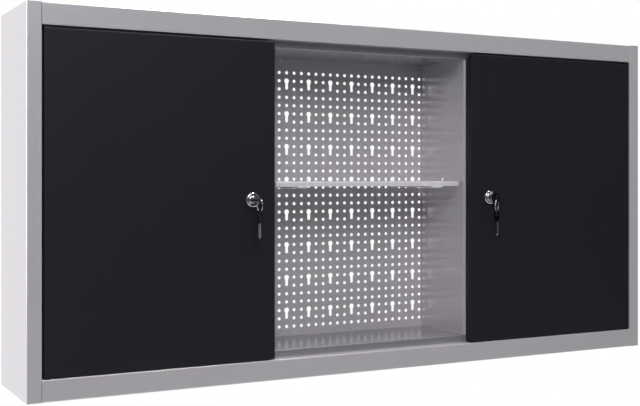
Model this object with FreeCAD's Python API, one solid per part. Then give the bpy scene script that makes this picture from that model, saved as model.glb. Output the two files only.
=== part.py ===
import FreeCAD, Part
import math
import os

# Metal wall cabinet: a folded sheet body with an open middle bay between two locking doors.
# Millimetres. X to the right, Y into the wall, Z up. The origin is on the wall plane, at the
# middle of the four wall screws, so the front of the body is at Y = -DEPTH.

# Body
WIDTH = 1200.0
HEIGHT = 600.0
DEPTH = 190.0
BODY_SHEET = 1.0
BEND_RADIUS = 1.0
STILE_WIDTH = 22.5
RAIL_HEIGHT = 34.0
REBATE_DEPTH = 20.0
STOP_HEIGHT = 12.5
LEDGE_DEPTH = 32.0
REAR_FLANGE = 20.0

# Wall fixing, in the rear flanges of the side panels
WALL_FLANGE = 30.0
WALL_HOLE_DIAMETER = 8.5
WALL_HOLE_END = 50.0

# Middle bay
BAY_WIDTH = 386.0
PARTITION_FRONT_FLANGE = 25.0
PARTITION_REAR_FLANGE = 18.0

# Perforated back panel: its field of holes is centred on the middle bay, and the keyholes are cut
PANEL_SHEET = 1.0
PANEL_STANDOFF = 22.0
PANEL_SIDE_GAP = 5.0
ANGLE_LEG = 16.0
FIELD_SIDE_MARGIN = 5.0
HOLE_PITCH = 15.0
KEYHOLE_COLUMN_STEP = 3
KEYHOLE_ROW_STEP = 4
KEYHOLE_ARC_STEPS = 4
TOP_ROW_DROP = 25.0
BOTTOM_ROW_RISE = 12.0
KEYHOLE_DIAMETER = 9.5
KEYHOLE_SLOT_WIDTH = 5.5
KEYHOLE_DROP = 15.5

# Shelf on two wire hooks
SHELF_SIDE_GAP = 9.0
SHELF_DEPTH = 140.0
SHELF_HEIGHT = 8.5
SHELF_SHEET = 1.0
SHELF_PANEL_GAP = 4.0
HOOK_WIRE = 3.2
HOOK_WIRE_SIDES = 8
HOOK_REACH = 174.0
HOOK_TIP_RISE = 16.0
HOOK_TIP_LEAN = 12.0
HOOK_TAIL_RISE = 20.0
HOOK_KEYHOLE_ROW = 3
HOOK_END_COLUMNS = 1
HOOK_SEAT_GAP = 0.05

# Doors
DOOR_SHEET = 1.0
DOOR_THICKNESS = 18.0
DOOR_SIDE_GAP = 2.5
DOOR_TOP_GAP = 3.5
DOOR_FOOT_GAP = 2.0
DOOR_BAY_OVERLAP = 3.5
DOOR_LIP = 12.0
DOOR_CORNER_SLANT = 11.0
STIFFENER_WIDTH = 60.0
STIFFENER_FLANGE = 15.0
STIFFENER_DEPTH = 12.0
STIFFENER_END_GAP = 24.0

# Door pivots
PIN_DIAMETER = 6.0
PIN_INSET = 6.0
PIN_SETBACK = 6.0
PIN_HEAD_SIZE = 7.8
PIN_HEAD_HEIGHT = 2.0
PIN_HEAD_SIDES = 8
PIN_REACH = 10.0
BUSH_WALL = 1.5
BUSH_COLLAR = 10.0
BUSH_LENGTH = 7.0
BUSH_SIDES = 8
RUNNING_CLEARANCE = 0.05
FIT_CLEARANCE = 0.05

# Cam locks
LOCK_INSET = 40.5
LOCK_BEZEL_DIAMETER = 24.5
LOCK_BEZEL_HEIGHT = 3.5
LOCK_BEZEL_CHAMFER = 1.6
LOCK_BEZEL_SIDES = 32
LOCK_BODY_DIAMETER = 18.0
LOCK_BODY_SIDES = 12
LOCK_PLUG_DIAMETER = 12.0
LOCK_BORE_SIDES = 24
LOCK_PLUG_PROUD = 0.6
LOCK_NUT_SIZE = 24.0
LOCK_NUT_HEIGHT = 4.0
CAM_LENGTH = 40.0
CAM_WIDTH = 14.0
CAM_SHEET = 2.0
CAM_STOP_GAP = 3.0
CAM_SQUARE = 7.0
CAM_SCREW_HEAD = 8.0
CAM_SCREW_HEAD_HEIGHT = 2.5
CAM_SCREW_SHANK = 4.0
CAM_SCREW_SIDES = 8
CAM_SCREW_WALL = 0.5

# Keys
KEY_BLADE_WIDTH = 7.0
KEY_BLADE_SHEET = 2.0
KEY_BLADE_LENGTH = 25.0
KEY_INSERTED = 22.0
KEY_TIP_GAP = 0.5
KEYWAY_CLEARANCE = 0.15
KEY_BOW_WIDTH = 20.0
KEY_BOW_LENGTH = 23.0
KEY_BOW_SHEET = 2.6
KEY_NECK_WIDTH = 9.0
KEY_SHOULDER_RISE = 6.9
KEY_BOW_ROUND = 7.5
KEY_NOTCHES = 4
KEY_HOLE_WIDTH = 11.0
KEY_HOLE_LENGTH = 9.4
KEY_HOLE_MARGIN = 3.0
RING_RADIUS = 10.8
RING_WIRE = 1.6
RING_WIRE_SIDES = 6
RING_RUNS = 20
RING_SEAT_GAP = 0.3
RIGHT_RING_TWIST = 40.0
SPARE_TWIST = -45.0

# Places worked out from the driving dimensions
FRONT_Y = -DEPTH
STOP_Y = FRONT_Y + REBATE_DEPTH
PANEL_Y = -PANEL_STANDOFF
SIDE_X = WIDTH / 2.0
WALL_INNER_X = SIDE_X - BODY_SHEET
STILE_X = SIDE_X - STILE_WIDTH
TOP_Z = HEIGHT / 2.0
LEDGE_Z = TOP_Z - RAIL_HEIGHT
STOP_Z = LEDGE_Z - STOP_HEIGHT
BAY_X = BAY_WIDTH / 2.0
PANEL_X = SIDE_X - WALL_FLANGE - PANEL_SIDE_GAP
PANEL_Z = TOP_Z - BODY_SHEET
OUTER_BEND = BODY_SHEET + BEND_RADIUS
WALL_HOLE_X = SIDE_X - WALL_FLANGE / 2.0
WALL_HOLE_Z = TOP_Z - WALL_HOLE_END
DOOR_HINGE_X = STILE_X - DOOR_SIDE_GAP
DOOR_FREE_X = BAY_X + DOOR_BAY_OVERLAP
DOOR_TOP_Z = LEDGE_Z - DOOR_TOP_GAP
DOOR_FOOT_Z = DOOR_FOOT_GAP - LEDGE_Z
DOOR_BACK_Y = FRONT_Y + DOOR_THICKNESS
PIN_X = DOOR_HINGE_X - PIN_INSET
PIN_Y = FRONT_Y + PIN_SETBACK
LOCK_X = DOOR_FREE_X + LOCK_INSET
LOCK_FACE_Y = FRONT_Y - LOCK_BEZEL_HEIGHT - LOCK_PLUG_PROUD
CAM_Y = STOP_Y + BODY_SHEET + CAM_STOP_GAP
KEYWAY_END_Y = LOCK_FACE_Y + KEY_INSERTED + KEY_TIP_GAP
CAM_SCREW_LENGTH = CAM_Y + CAM_SHEET - KEYWAY_END_Y - CAM_SCREW_WALL
TOP_ROW_Z = STOP_Z - TOP_ROW_DROP
KEYHOLE_PITCH_Z = HOLE_PITCH * KEYHOLE_ROW_STEP
KEYHOLE_TOP_Z = TOP_ROW_Z - HOLE_PITCH
RING_INSIDE = RING_RADIUS - RING_WIRE / 2.0

X_AXIS = FreeCAD.Vector(1, 0, 0)
Y_AXIS = FreeCAD.Vector(0, 1, 0)
Z_AXIS = FreeCAD.Vector(0, 0, 1)


def vec(x, y, z):
    return FreeCAD.Vector(x, y, z)


def block(x0, x1, y0, y1, z0, z1):
    """A box between two corners."""
    return Part.makeBox(x1 - x0, y1 - y0, z1 - z0, vec(x0, y0, z0))


def rod(diameter, start, axis, length):
    """A cylinder from a point along an axis."""
    return Part.makeCylinder(diameter / 2.0, length, start, axis)


def mirrored(shape):
    """The same piece on the other side of the cabinet."""
    return shape.mirror(vec(0, 0, 0), X_AXIS)


def fused(shapes):
    """One solid from touching or crossing solids, with its seams removed."""
    return shapes[0].multiFuse(shapes[1:]).removeSplitter()


def rounded_corners(points, radii):
    """Edges along a path, each inner corner an arc of its own radius."""
    edges = []
    last = points[0]
    for before, corner, after, radius in zip(points, points[1:], points[2:], radii):
        to_before = (before - corner).normalize()
        to_after = (after - corner).normalize()
        half = to_before.getAngle(to_after) / 2.0
        reach = radius / math.tan(half)
        middle = (to_before + to_after).normalize() * (radius / math.sin(half) - radius)
        start = corner + to_before * reach
        end = corner + to_after * reach
        edges.append(Part.LineSegment(last, start).toShape())
        edges.append(Part.Arc(start, corner + middle, end).toShape())
        last = end
    edges.append(Part.LineSegment(last, points[-1]).toShape())
    return edges


def offset_path(points, normal, distance):
    """The path moved sideways by a distance, to the left of its run seen against the normal."""
    sides = [normal.cross((b - a).normalize()) * distance for a, b in zip(points, points[1:])]
    moved = [points[0] + sides[0]]
    for corner, one, two in zip(points[1:], sides, sides[1:]):
        both = one + two
        moved.append(corner + both * (2.0 * distance * distance / both.dot(both)))
    moved.append(points[-1] + sides[-1])
    return moved


def folded_sheet(points, normal, sheet, length):
    """A sheet folded along a path of its outer face, and as long as given along the normal.

    The sheet lies to the left of the path, and each fold has the bend radius inside.
    """
    inner = offset_path(points, normal, sheet)
    outer_radii = []
    inner_radii = []
    for before, corner, after in zip(points, points[1:], points[2:]):
        turns_left = normal.dot((corner - before).cross(after - corner)) > 0
        outer_radii.append(BEND_RADIUS + sheet if turns_left else BEND_RADIUS)
        inner_radii.append(BEND_RADIUS if turns_left else BEND_RADIUS + sheet)
    edges = rounded_corners(points, outer_radii)
    edges.append(Part.LineSegment(points[-1], inner[-1]).toShape())
    edges += rounded_corners(inner[::-1], inner_radii[::-1])
    edges.append(Part.LineSegment(inner[0], points[0]).toShape())
    return Part.Face(Part.Wire(edges)).extrude(normal * length)


def closed_outline(points, radii):
    """A closed wire with a rounded corner at each point."""
    start = (points[-1] + points[0]) * 0.5
    return Part.Wire(rounded_corners([start] + points + [start], radii))


def side_panel():
    """Right side panel: rear wall flange, side wall, front stile and its return."""
    points = [
        vec(SIDE_X - WALL_FLANGE, 0, -TOP_Z),
        vec(SIDE_X, 0, -TOP_Z),
        vec(SIDE_X, FRONT_Y, -TOP_Z),
        vec(STILE_X, FRONT_Y, -TOP_Z),
        vec(STILE_X, STOP_Y, -TOP_Z),
    ]
    panel = folded_sheet(points, Z_AXIS * -1, BODY_SHEET, HEIGHT)
    panel.translate(Z_AXIS * HEIGHT)
    for z in (-TOP_Z, TOP_Z - BODY_SHEET):
        return_end = block(STILE_X, WALL_INNER_X, FRONT_Y + OUTER_BEND, STOP_Y, z, z + BODY_SHEET)
        panel = panel.cut(return_end)
    for z in (-WALL_HOLE_Z, WALL_HOLE_Z):
        panel = panel.cut(rod(WALL_HOLE_DIAMETER, vec(WALL_HOLE_X, -OUTER_BEND, z), Y_AXIS, 2 * OUTER_BEND))
    return panel


def end_panel(sign):
    """Top (sign 1) or bottom (sign -1) panel: rear flange, outer plate, rail and door ledge."""
    points = [
        vec(-WALL_INNER_X, 0, sign * (TOP_Z - REAR_FLANGE)),
        vec(-WALL_INNER_X, 0, sign * TOP_Z),
        vec(-WALL_INNER_X, FRONT_Y, sign * TOP_Z),
        vec(-WALL_INNER_X, FRONT_Y, sign * LEDGE_Z),
        vec(-WALL_INNER_X, FRONT_Y + LEDGE_DEPTH, sign * LEDGE_Z),
    ]
    panel = folded_sheet(points, X_AXIS * sign, BODY_SHEET, 2 * WALL_INNER_X)
    if sign < 0:
        panel.translate(X_AXIS * (2 * WALL_INNER_X))
    for x0, x1 in ((STILE_X, SIDE_X), (-SIDE_X, -STILE_X)):
        panel = panel.cut(block(x0, x1, FRONT_Y, FRONT_Y + OUTER_BEND, -TOP_Z, TOP_Z))
        inner_z = TOP_Z - BODY_SHEET
        panel = panel.cut(block(x0, x1, FRONT_Y, FRONT_Y + LEDGE_DEPTH, -inner_z, inner_z))
    flange_x = SIDE_X - WALL_FLANGE
    for x0, x1 in ((flange_x, SIDE_X), (-SIDE_X, -flange_x)):
        panel = panel.cut(block(x0, x1, -OUTER_BEND, 0, -TOP_Z, TOP_Z))
    hole = PIN_DIAMETER + 2 * FIT_CLEARANCE
    for x in (-PIN_X, PIN_X):
        z = LEDGE_Z - BODY_SHEET if sign > 0 else -LEDGE_Z - 2 * BODY_SHEET
        panel = panel.cut(rod(hole, vec(x, PIN_Y, z), Z_AXIS, 3 * BODY_SHEET))
    return panel


def bay_plate(sign):
    """Ceiling (sign 1) or floor (sign -1) plate: stop lip, plate and rear flange."""
    points = [
        vec(-WALL_INNER_X, STOP_Y, sign * LEDGE_Z),
        vec(-WALL_INNER_X, STOP_Y, sign * STOP_Z),
        vec(-WALL_INNER_X, PANEL_Y, sign * STOP_Z),
        vec(-WALL_INNER_X, PANEL_Y, sign * LEDGE_Z),
    ]
    plate = folded_sheet(points, X_AXIS * sign, BODY_SHEET, 2 * WALL_INNER_X)
    if sign < 0:
        plate.translate(X_AXIS * (2 * WALL_INNER_X))
    return plate


def partition():
    """Right partition, with its flanges turned out of the middle bay."""
    points = [
        vec(BAY_X + PARTITION_REAR_FLANGE, PANEL_Y, -STOP_Z),
        vec(BAY_X, PANEL_Y, -STOP_Z),
        vec(BAY_X, STOP_Y, -STOP_Z),
        vec(BAY_X + PARTITION_FRONT_FLANGE, STOP_Y, -STOP_Z),
    ]
    return folded_sheet(points, Z_AXIS, BODY_SHEET, 2 * STOP_Z)


def keyhole(x, z):
    """Outline of one keyhole: a round end drawn in short flats, with a narrower slot below it."""
    radius = KEYHOLE_DIAMETER / 2.0
    half = KEYHOLE_SLOT_WIDTH / 2.0
    neck = math.asin(half / radius) - math.pi / 2.0
    step = (math.pi - 2.0 * neck) / KEYHOLE_ARC_STEPS
    points = []
    for i in range(KEYHOLE_ARC_STEPS + 1):
        turn = neck + step * i
        points.append(vec(x + radius * math.cos(turn), PANEL_Y, z + radius * math.sin(turn)))
    foot = z - KEYHOLE_DROP
    points.append(vec(x - half, PANEL_Y, foot))
    points.append(vec(x + half, PANEL_Y, foot))
    return Part.makePolygon(points + points[:1])


def hole_columns():
    """X of each hole column behind the middle bay, from the left."""
    room = BAY_WIDTH - 2.0 * FIELD_SIDE_MARGIN
    count = math.floor(room / HOLE_PITCH) + 1
    return [HOLE_PITCH * (i - (count - 1) / 2.0) for i in range(count)]


def keyhole_columns():
    """X of each keyhole column: every third hole column, from the left."""
    return hole_columns()[::KEYHOLE_COLUMN_STEP]


def keyhole_rows():
    """Z of each keyhole's round end, from the top row down."""
    lowest = -STOP_Z + BOTTOM_ROW_RISE + KEYHOLE_DROP
    count = math.floor((KEYHOLE_TOP_Z - lowest) / KEYHOLE_PITCH_Z) + 1
    return [KEYHOLE_TOP_Z - KEYHOLE_PITCH_Z * i for i in range(count)]


def perforated_panel():
    """Back panel: one flat sheet, holed behind the middle bay."""
    outline = Part.makePolygon([
        vec(-PANEL_X, PANEL_Y, -PANEL_Z),
        vec(PANEL_X, PANEL_Y, -PANEL_Z),
        vec(PANEL_X, PANEL_Y, PANEL_Z),
        vec(-PANEL_X, PANEL_Y, PANEL_Z),
        vec(-PANEL_X, PANEL_Y, -PANEL_Z),
    ])
    holes = [keyhole(x, z) for x in keyhole_columns() for z in keyhole_rows()]
    holed = Part.Face([outline] + holes)
    holed.validate()
    return holed.extrude(Y_AXIS * PANEL_SHEET)


def panel_angles():
    """Two angle strips behind the back panel, which hold it off the wall under the end panels."""
    back = PANEL_Y + PANEL_SHEET
    points = [
        vec(-PANEL_X, back, PANEL_Z - ANGLE_LEG),
        vec(-PANEL_X, back, PANEL_Z),
        vec(-PANEL_X, -OUTER_BEND, PANEL_Z),
    ]
    angle = folded_sheet(points, X_AXIS * -1, BODY_SHEET, 2 * PANEL_X)
    angle.translate(X_AXIS * (2 * PANEL_X))
    return Part.Compound([angle, angle.mirror(vec(0, 0, 0), Z_AXIS)])


def hook_columns():
    """X of the two hooks, each as many keyhole columns in from its end of the field."""
    columns = keyhole_columns()
    return columns[HOOK_END_COLUMNS], columns[-1 - HOOK_END_COLUMNS]


def shelf_place():
    """Low left front corner of the shelf, which lies on its hooks."""
    return SHELF_SIDE_GAP - BAY_X, PANEL_Y - SHELF_PANEL_GAP - SHELF_DEPTH, hook_axis_z() + HOOK_WIRE / 2.0


def shelf():
    """Shelf: a tray turned over, open below."""
    x, y, z = shelf_place()
    outer = block(x, -x, y, y + SHELF_DEPTH, z, z + SHELF_HEIGHT)
    top_edges = [e for e in outer.Edges if e.BoundBox.ZMin > z + SHELF_HEIGHT / 2.0]
    outer = outer.makeFillet(SHELF_SHEET + BEND_RADIUS, top_edges)
    s = SHELF_SHEET
    inner = block(x + s, -x - s, y + s, y + SHELF_DEPTH - s, z - s, z + SHELF_HEIGHT - s)
    top_edges = [e for e in inner.Edges if e.BoundBox.ZMin > z + SHELF_HEIGHT / 2.0]
    return outer.cut(inner.makeFillet(BEND_RADIUS, top_edges))


def hook_axis_z():
    """Height of the hook wires, which lie on the lower end of their keyhole slots."""
    slot_foot = keyhole_rows()[HOOK_KEYHOLE_ROW] - KEYHOLE_DROP
    return slot_foot + HOOK_SEAT_GAP + HOOK_WIRE / 2.0


def shelf_hook(x):
    """Wire hook in one column: tip turned up and leaning out, tail turned up behind the panel."""
    z = hook_axis_z()
    tip_y = PANEL_Y - HOOK_REACH
    tail_y = PANEL_Y + PANEL_SHEET + HOOK_SEAT_GAP + HOOK_WIRE / 2.0
    lean = math.radians(HOOK_TIP_LEAN)
    points = [
        vec(x, tip_y - HOOK_TIP_RISE * math.tan(lean), z + HOOK_TIP_RISE),
        vec(x, tip_y, z),
        vec(x, tail_y, z),
        vec(x, tail_y, z + HOOK_TAIL_RISE),
    ]
    depth_way = vec(0, math.cos(lean), math.sin(lean))
    reach = HOOK_WIRE / 2.0 / math.cos(math.pi / HOOK_WIRE_SIDES)
    corners = []
    for i in range(HOOK_WIRE_SIDES + 1):
        turn = 2.0 * math.pi * (i + 0.5) / HOOK_WIRE_SIDES
        corners.append(points[0] + X_AXIS * (reach * math.cos(turn)) + depth_way * (reach * math.sin(turn)))
    return Part.makePolygon(points).makePipeShell([Part.makePolygon(corners)], True, False, 1)


def door_tray():
    """Right door: a tray folded on four sides, with lips along its two upright edges."""
    x0, x1, z = DOOR_FREE_X, DOOR_HINGE_X, DOOR_TOP_Z
    s = DOOR_SHEET
    low, high = DOOR_FOOT_Z + s, DOOR_TOP_Z - s
    outer = block(x0, x1, FRONT_Y, DOOR_BACK_Y, DOOR_FOOT_Z, DOOR_TOP_Z)
    front_edges = [e for e in outer.Edges if e.BoundBox.YMax < FRONT_Y + s]
    outer = outer.makeFillet(s + BEND_RADIUS, front_edges)
    inner = block(x0 + s, x1 - s, FRONT_Y + s, DOOR_BACK_Y + s, low, high)
    front_edges = [e for e in inner.Edges if e.BoundBox.YMax < FRONT_Y + 2 * s]
    tray = outer.cut(inner.makeFillet(BEND_RADIUS, front_edges))
    free_lip = block(x0, x0 + DOOR_LIP, DOOR_BACK_Y - s, DOOR_BACK_Y, low, high)
    hinge_lip = block(x1 - DOOR_LIP, x1, DOOR_BACK_Y - s, DOOR_BACK_Y, low, high)
    tray = fused([tray, free_lip, hinge_lip])
    relief = Part.Face(Part.makePolygon([
        vec(x0 - s, FRONT_Y + s + BEND_RADIUS, z),
        vec(x0 - s, DOOR_BACK_Y + s, z - DOOR_CORNER_SLANT),
        vec(x0 - s, DOOR_BACK_Y + s, z + s),
        vec(x0 - s, FRONT_Y + s + BEND_RADIUS, z + s),
        vec(x0 - s, FRONT_Y + s + BEND_RADIUS, z),
    ])).extrude(X_AXIS * (DOOR_LIP + 2 * s))
    tray = tray.cut(relief)
    bush_hole = PIN_DIAMETER + 2 * BUSH_WALL + 2 * FIT_CLEARANCE
    for end in (DOOR_FOOT_Z - s, DOOR_TOP_Z - 2 * s):
        tray = tray.cut(prism(bush_hole, BUSH_SIDES, vec(PIN_X, PIN_Y, end), Z_AXIS, 3 * s))
    return tray.cut(lock_body(FIT_CLEARANCE))


def door_stiffener():
    """Hat channel on the inside of the door skin, mid-way across."""
    middle = (DOOR_FREE_X + DOOR_HINGE_X) / 2.0
    foot_y = FRONT_Y + 2 * DOOR_SHEET
    crown_y = FRONT_Y + DOOR_SHEET + STIFFENER_DEPTH
    half = STIFFENER_WIDTH / 2.0
    reach = half + STIFFENER_FLANGE
    z = DOOR_TOP_Z - STIFFENER_END_GAP
    length = z - DOOR_FOOT_Z - STIFFENER_END_GAP
    points = [
        vec(middle - reach, foot_y, z),
        vec(middle - half, foot_y, z),
        vec(middle - half, crown_y, z),
        vec(middle + half, crown_y, z),
        vec(middle + half, foot_y, z),
        vec(middle + reach, foot_y, z),
    ]
    return folded_sheet(points, Z_AXIS * -1, DOOR_SHEET, length)


def hinge_pins():
    """Right pair of pivots: a head in the rail, and a shank through the ledge into the door."""
    pins = []
    for sign, gap in ((1, DOOR_TOP_GAP), (-1, DOOR_FOOT_GAP)):
        inside = vec(PIN_X, PIN_Y, sign * (LEDGE_Z + BODY_SHEET))
        head = prism(PIN_HEAD_SIZE, PIN_HEAD_SIDES, inside, Z_AXIS * sign, PIN_HEAD_HEIGHT)
        shank = rod(PIN_DIAMETER, inside, Z_AXIS * -sign, BODY_SHEET + gap + PIN_REACH)
        pins.append(fused([head, shank]))
    return Part.Compound(pins)


def hinge_bushes():
    """Right pair of flanged bushes: each collar fills the gap between the door and the ledge."""
    bushes = []
    for sign, gap in ((1, DOOR_TOP_GAP), (-1, DOOR_FOOT_GAP)):
        ledge = vec(PIN_X, PIN_Y, sign * LEDGE_Z)
        inward = Z_AXIS * -sign
        collar = prism(BUSH_COLLAR, 4, ledge, inward, gap)
        barrel = prism(PIN_DIAMETER + 2 * BUSH_WALL, BUSH_SIDES, ledge, inward, gap + BUSH_LENGTH)
        bore = rod(PIN_DIAMETER + 2 * RUNNING_CLEARANCE, ledge, inward, gap + BUSH_LENGTH)
        bushes.append(fused([collar, barrel]).cut(bore))
    return Part.Compound(bushes)


def even_outline(size, sides, middle, axis):
    """Even-sided outline round an axis along Y or Z, as wide across its flats as given."""
    radius = size / 2.0 / math.cos(math.pi / sides)
    side_way = X_AXIS.cross(axis)
    corners = []
    for i in range(sides + 1):
        turn = 2.0 * math.pi * (i + 0.5) / sides
        corners.append(middle + X_AXIS * (radius * math.cos(turn)) + side_way * (radius * math.sin(turn)))
    return Part.makePolygon(corners)


def prism(size, sides, start, axis, height):
    """Even-sided bar from a point along Y or Z."""
    return Part.Face(even_outline(size, sides, start, axis)).extrude(axis * height)


def lock_body(clearance):
    """Body of the right lock behind its bezel, as a bar with flats, grown by a clearance."""
    size = LOCK_BODY_DIAMETER + 2 * clearance
    return prism(size, LOCK_BODY_SIDES, vec(LOCK_X, FRONT_Y, 0), Y_AXIS, CAM_Y - FRONT_Y)


def lock_barrel():
    """Fixed part of the right lock: chamfered bezel, body and plug bore."""
    front = vec(LOCK_X, FRONT_Y - LOCK_BEZEL_HEIGHT, 0)
    shoulder = front + Y_AXIS * LOCK_BEZEL_CHAMFER
    face = LOCK_BEZEL_DIAMETER - 2 * LOCK_BEZEL_CHAMFER
    crown = Part.makeLoft([
        even_outline(face, LOCK_BEZEL_SIDES, front, Y_AXIS),
        even_outline(LOCK_BEZEL_DIAMETER, LOCK_BEZEL_SIDES, shoulder, Y_AXIS),
    ], True, True)
    rim = prism(LOCK_BEZEL_DIAMETER, LOCK_BEZEL_SIDES, shoulder, Y_AXIS, FRONT_Y - shoulder.y)
    bore_size = LOCK_PLUG_DIAMETER + 2 * RUNNING_CLEARANCE
    bore = prism(bore_size, LOCK_BORE_SIDES, front, Y_AXIS, CAM_Y - front.y)
    return fused([crown, rim, lock_body(0.0)]).cut(bore)


def lock_nut():
    """Hexagon nut that holds the right lock to the door skin."""
    nut = prism(LOCK_NUT_SIZE, 6, vec(LOCK_X, FRONT_Y + DOOR_SHEET, 0), Y_AXIS, LOCK_NUT_HEIGHT)
    return nut.cut(lock_body(FIT_CLEARANCE))


def lock_plug(upright):
    """Turning plug of the right lock, with its keyway and a square tail for the cam."""
    length = CAM_Y - LOCK_FACE_Y
    face = vec(LOCK_X, LOCK_FACE_Y, 0)
    plug = rod(LOCK_PLUG_DIAMETER, face, Y_AXIS, length)
    half = CAM_SQUARE / 2.0
    tail = block(LOCK_X - half, LOCK_X + half, CAM_Y, CAM_Y + CAM_SHEET, -half, half)
    thick = KEY_BLADE_SHEET / 2.0 + KEYWAY_CLEARANCE
    wide = KEY_BLADE_WIDTH / 2.0 + KEYWAY_CLEARANCE
    across, tall = (thick, wide) if upright else (wide, thick)
    keyway = block(LOCK_X - across, LOCK_X + across, LOCK_FACE_Y, KEYWAY_END_Y, -tall, tall)
    tapped = CAM_SCREW_SHANK + 2 * FIT_CLEARANCE
    back = vec(LOCK_X, CAM_Y + CAM_SHEET, 0)
    screw_hole = prism(tapped, CAM_SCREW_SIDES, back, Y_AXIS * -1, CAM_SCREW_LENGTH)
    return fused([plug, tail]).cut(keyway).cut(screw_hole)


def lock_cam():
    """Cam of the right lock, hanging down: the unlocked place, clear of the partition flange."""
    half = CAM_WIDTH / 2.0
    y = CAM_Y
    tip = CAM_WIDTH / 4.0
    points = [
        vec(LOCK_X - half, y, half),
        vec(LOCK_X - half, y, -CAM_LENGTH),
        vec(LOCK_X + half, y, -CAM_LENGTH),
        vec(LOCK_X + half, y, half),
    ]
    outline = closed_outline(points, [tip, tip, tip, tip])
    cam = Part.Face(outline).extrude(Y_AXIS * CAM_SHEET)
    hole = CAM_SQUARE / 2.0 + FIT_CLEARANCE
    return cam.cut(block(LOCK_X - hole, LOCK_X + hole, y, y + CAM_SHEET, -hole, hole))


def cam_screw():
    """Screw that holds the cam on the tail of the right plug."""
    back = vec(LOCK_X, CAM_Y + CAM_SHEET, 0)
    head = prism(CAM_SCREW_HEAD, 6, back, Y_AXIS, CAM_SCREW_HEAD_HEIGHT)
    shank = prism(CAM_SCREW_SHANK, CAM_SCREW_SIDES, back, Y_AXIS * -1, CAM_SCREW_LENGTH - FIT_CLEARANCE)
    return fused([head, shank])


def key_blade():
    """Blade with cut notches, tip at the origin, running up Z, its flat side facing X."""
    half = KEY_BLADE_WIDTH / 2.0
    x = -KEY_BLADE_SHEET / 2.0
    points = [vec(x, -half, half), vec(x, 0, 0), vec(x, half, half)]
    notch_pitch = (KEY_INSERTED - half) / (KEY_NOTCHES + 1)
    for i in range(KEY_NOTCHES):
        z = half + notch_pitch * (i + 0.5)
        points.append(vec(x, half, z))
        points.append(vec(x, half - notch_pitch / 3.0, z + notch_pitch / 3.0))
        points.append(vec(x, half, z + notch_pitch * 2.0 / 3.0))
    points += [vec(x, half, KEY_BLADE_LENGTH), vec(x, -half, KEY_BLADE_LENGTH), points[0]]
    return Part.Face(Part.makePolygon(points)).extrude(X_AXIS * KEY_BLADE_SHEET)


def key_bow():
    """Bow with its ring hole, on the end of the blade, its flat side facing X."""
    x = -KEY_BOW_SHEET / 2.0
    half = KEY_BOW_WIDTH / 2.0
    neck = KEY_NECK_WIDTH / 2.0
    z0 = KEY_BLADE_LENGTH
    z1 = z0 + KEY_BOW_LENGTH
    shoulder = z0 + KEY_SHOULDER_RISE
    round_end = KEY_BOW_ROUND
    points = [
        vec(x, 0, z0),
        vec(x, -neck, z0),
        vec(x, -half, shoulder),
        vec(x, -half, z1 - round_end),
        vec(x, round_end - half, z1),
        vec(x, half - round_end, z1),
        vec(x, half, z1 - round_end),
        vec(x, half, shoulder),
        vec(x, neck, z0),
        vec(x, 0, z0),
    ]
    edges = []
    for one, two in zip(points, points[1:]):
        edges.append(Part.LineSegment(one, two).toShape())
    corner = math.sqrt(0.5) * round_end
    for place, side in ((3, -1), (5, 1)):
        middle = vec(x, side * (half - round_end + corner), z1 - round_end + corner)
        edges[place] = Part.Arc(points[place], middle, points[place + 1]).toShape()
    bow = Part.Face(Part.Wire(edges)).extrude(X_AXIS * KEY_BOW_SHEET)
    end = KEY_HOLE_LENGTH / 2.0
    side = KEY_HOLE_WIDTH / 2.0
    cut = KEY_HOLE_LENGTH / 4.0
    middle = z1 - KEY_HOLE_MARGIN - end
    hole = []
    for y, z in ((-side, end - cut), (cut - side, end), (side - cut, end), (side, end - cut)):
        hole.append(vec(x, y, middle + z))
    for y, z in ((side, cut - end), (side - cut, -end), (cut - side, -end), (-side, cut - end)):
        hole.append(vec(x, y, middle + z))
    return bow.cut(Part.Face(Part.makePolygon(hole + hole[:1])).extrude(X_AXIS * KEY_BOW_SHEET))


def inserted(shape, upright):
    """A key piece put into the right lock, with its bow upright or lying flat."""
    placed = shape.copy()
    if not upright:
        placed.rotate(vec(0, 0, 0), Z_AXIS, 90)
    placed.rotate(vec(0, 0, 0), X_AXIS, 90)
    placed.translate(vec(LOCK_X, LOCK_FACE_Y + KEY_INSERTED, 0))
    return placed


def ring_centre(upright):
    """Middle of the right key ring as it hangs in the bow's hole."""
    bow_end = KEY_BLADE_LENGTH + KEY_BOW_LENGTH
    tip_y = LOCK_FACE_Y + KEY_INSERTED
    if upright:
        y = tip_y - bow_end + KEY_HOLE_MARGIN + KEY_HOLE_LENGTH / 2.0
        half = KEY_BOW_SHEET / 2.0 / math.cos(math.radians(RIGHT_RING_TWIST))
        inside = RING_INSIDE - RING_SEAT_GAP
        return vec(LOCK_X, y, -KEY_HOLE_WIDTH / 2.0 - math.sqrt(inside * inside - half * half))
    y = tip_y - bow_end + KEY_HOLE_MARGIN / 2.0
    half = KEY_HOLE_MARGIN / 2.0
    inside = RING_INSIDE - RING_SEAT_GAP
    return vec(LOCK_X, y, KEY_BOW_SHEET / 2.0 - math.sqrt(inside * inside - half * half))


def ring_turn(upright):
    """Turn of the ring's plane about the upright, from facing the front."""
    return RIGHT_RING_TWIST if upright else 90.0


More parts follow.
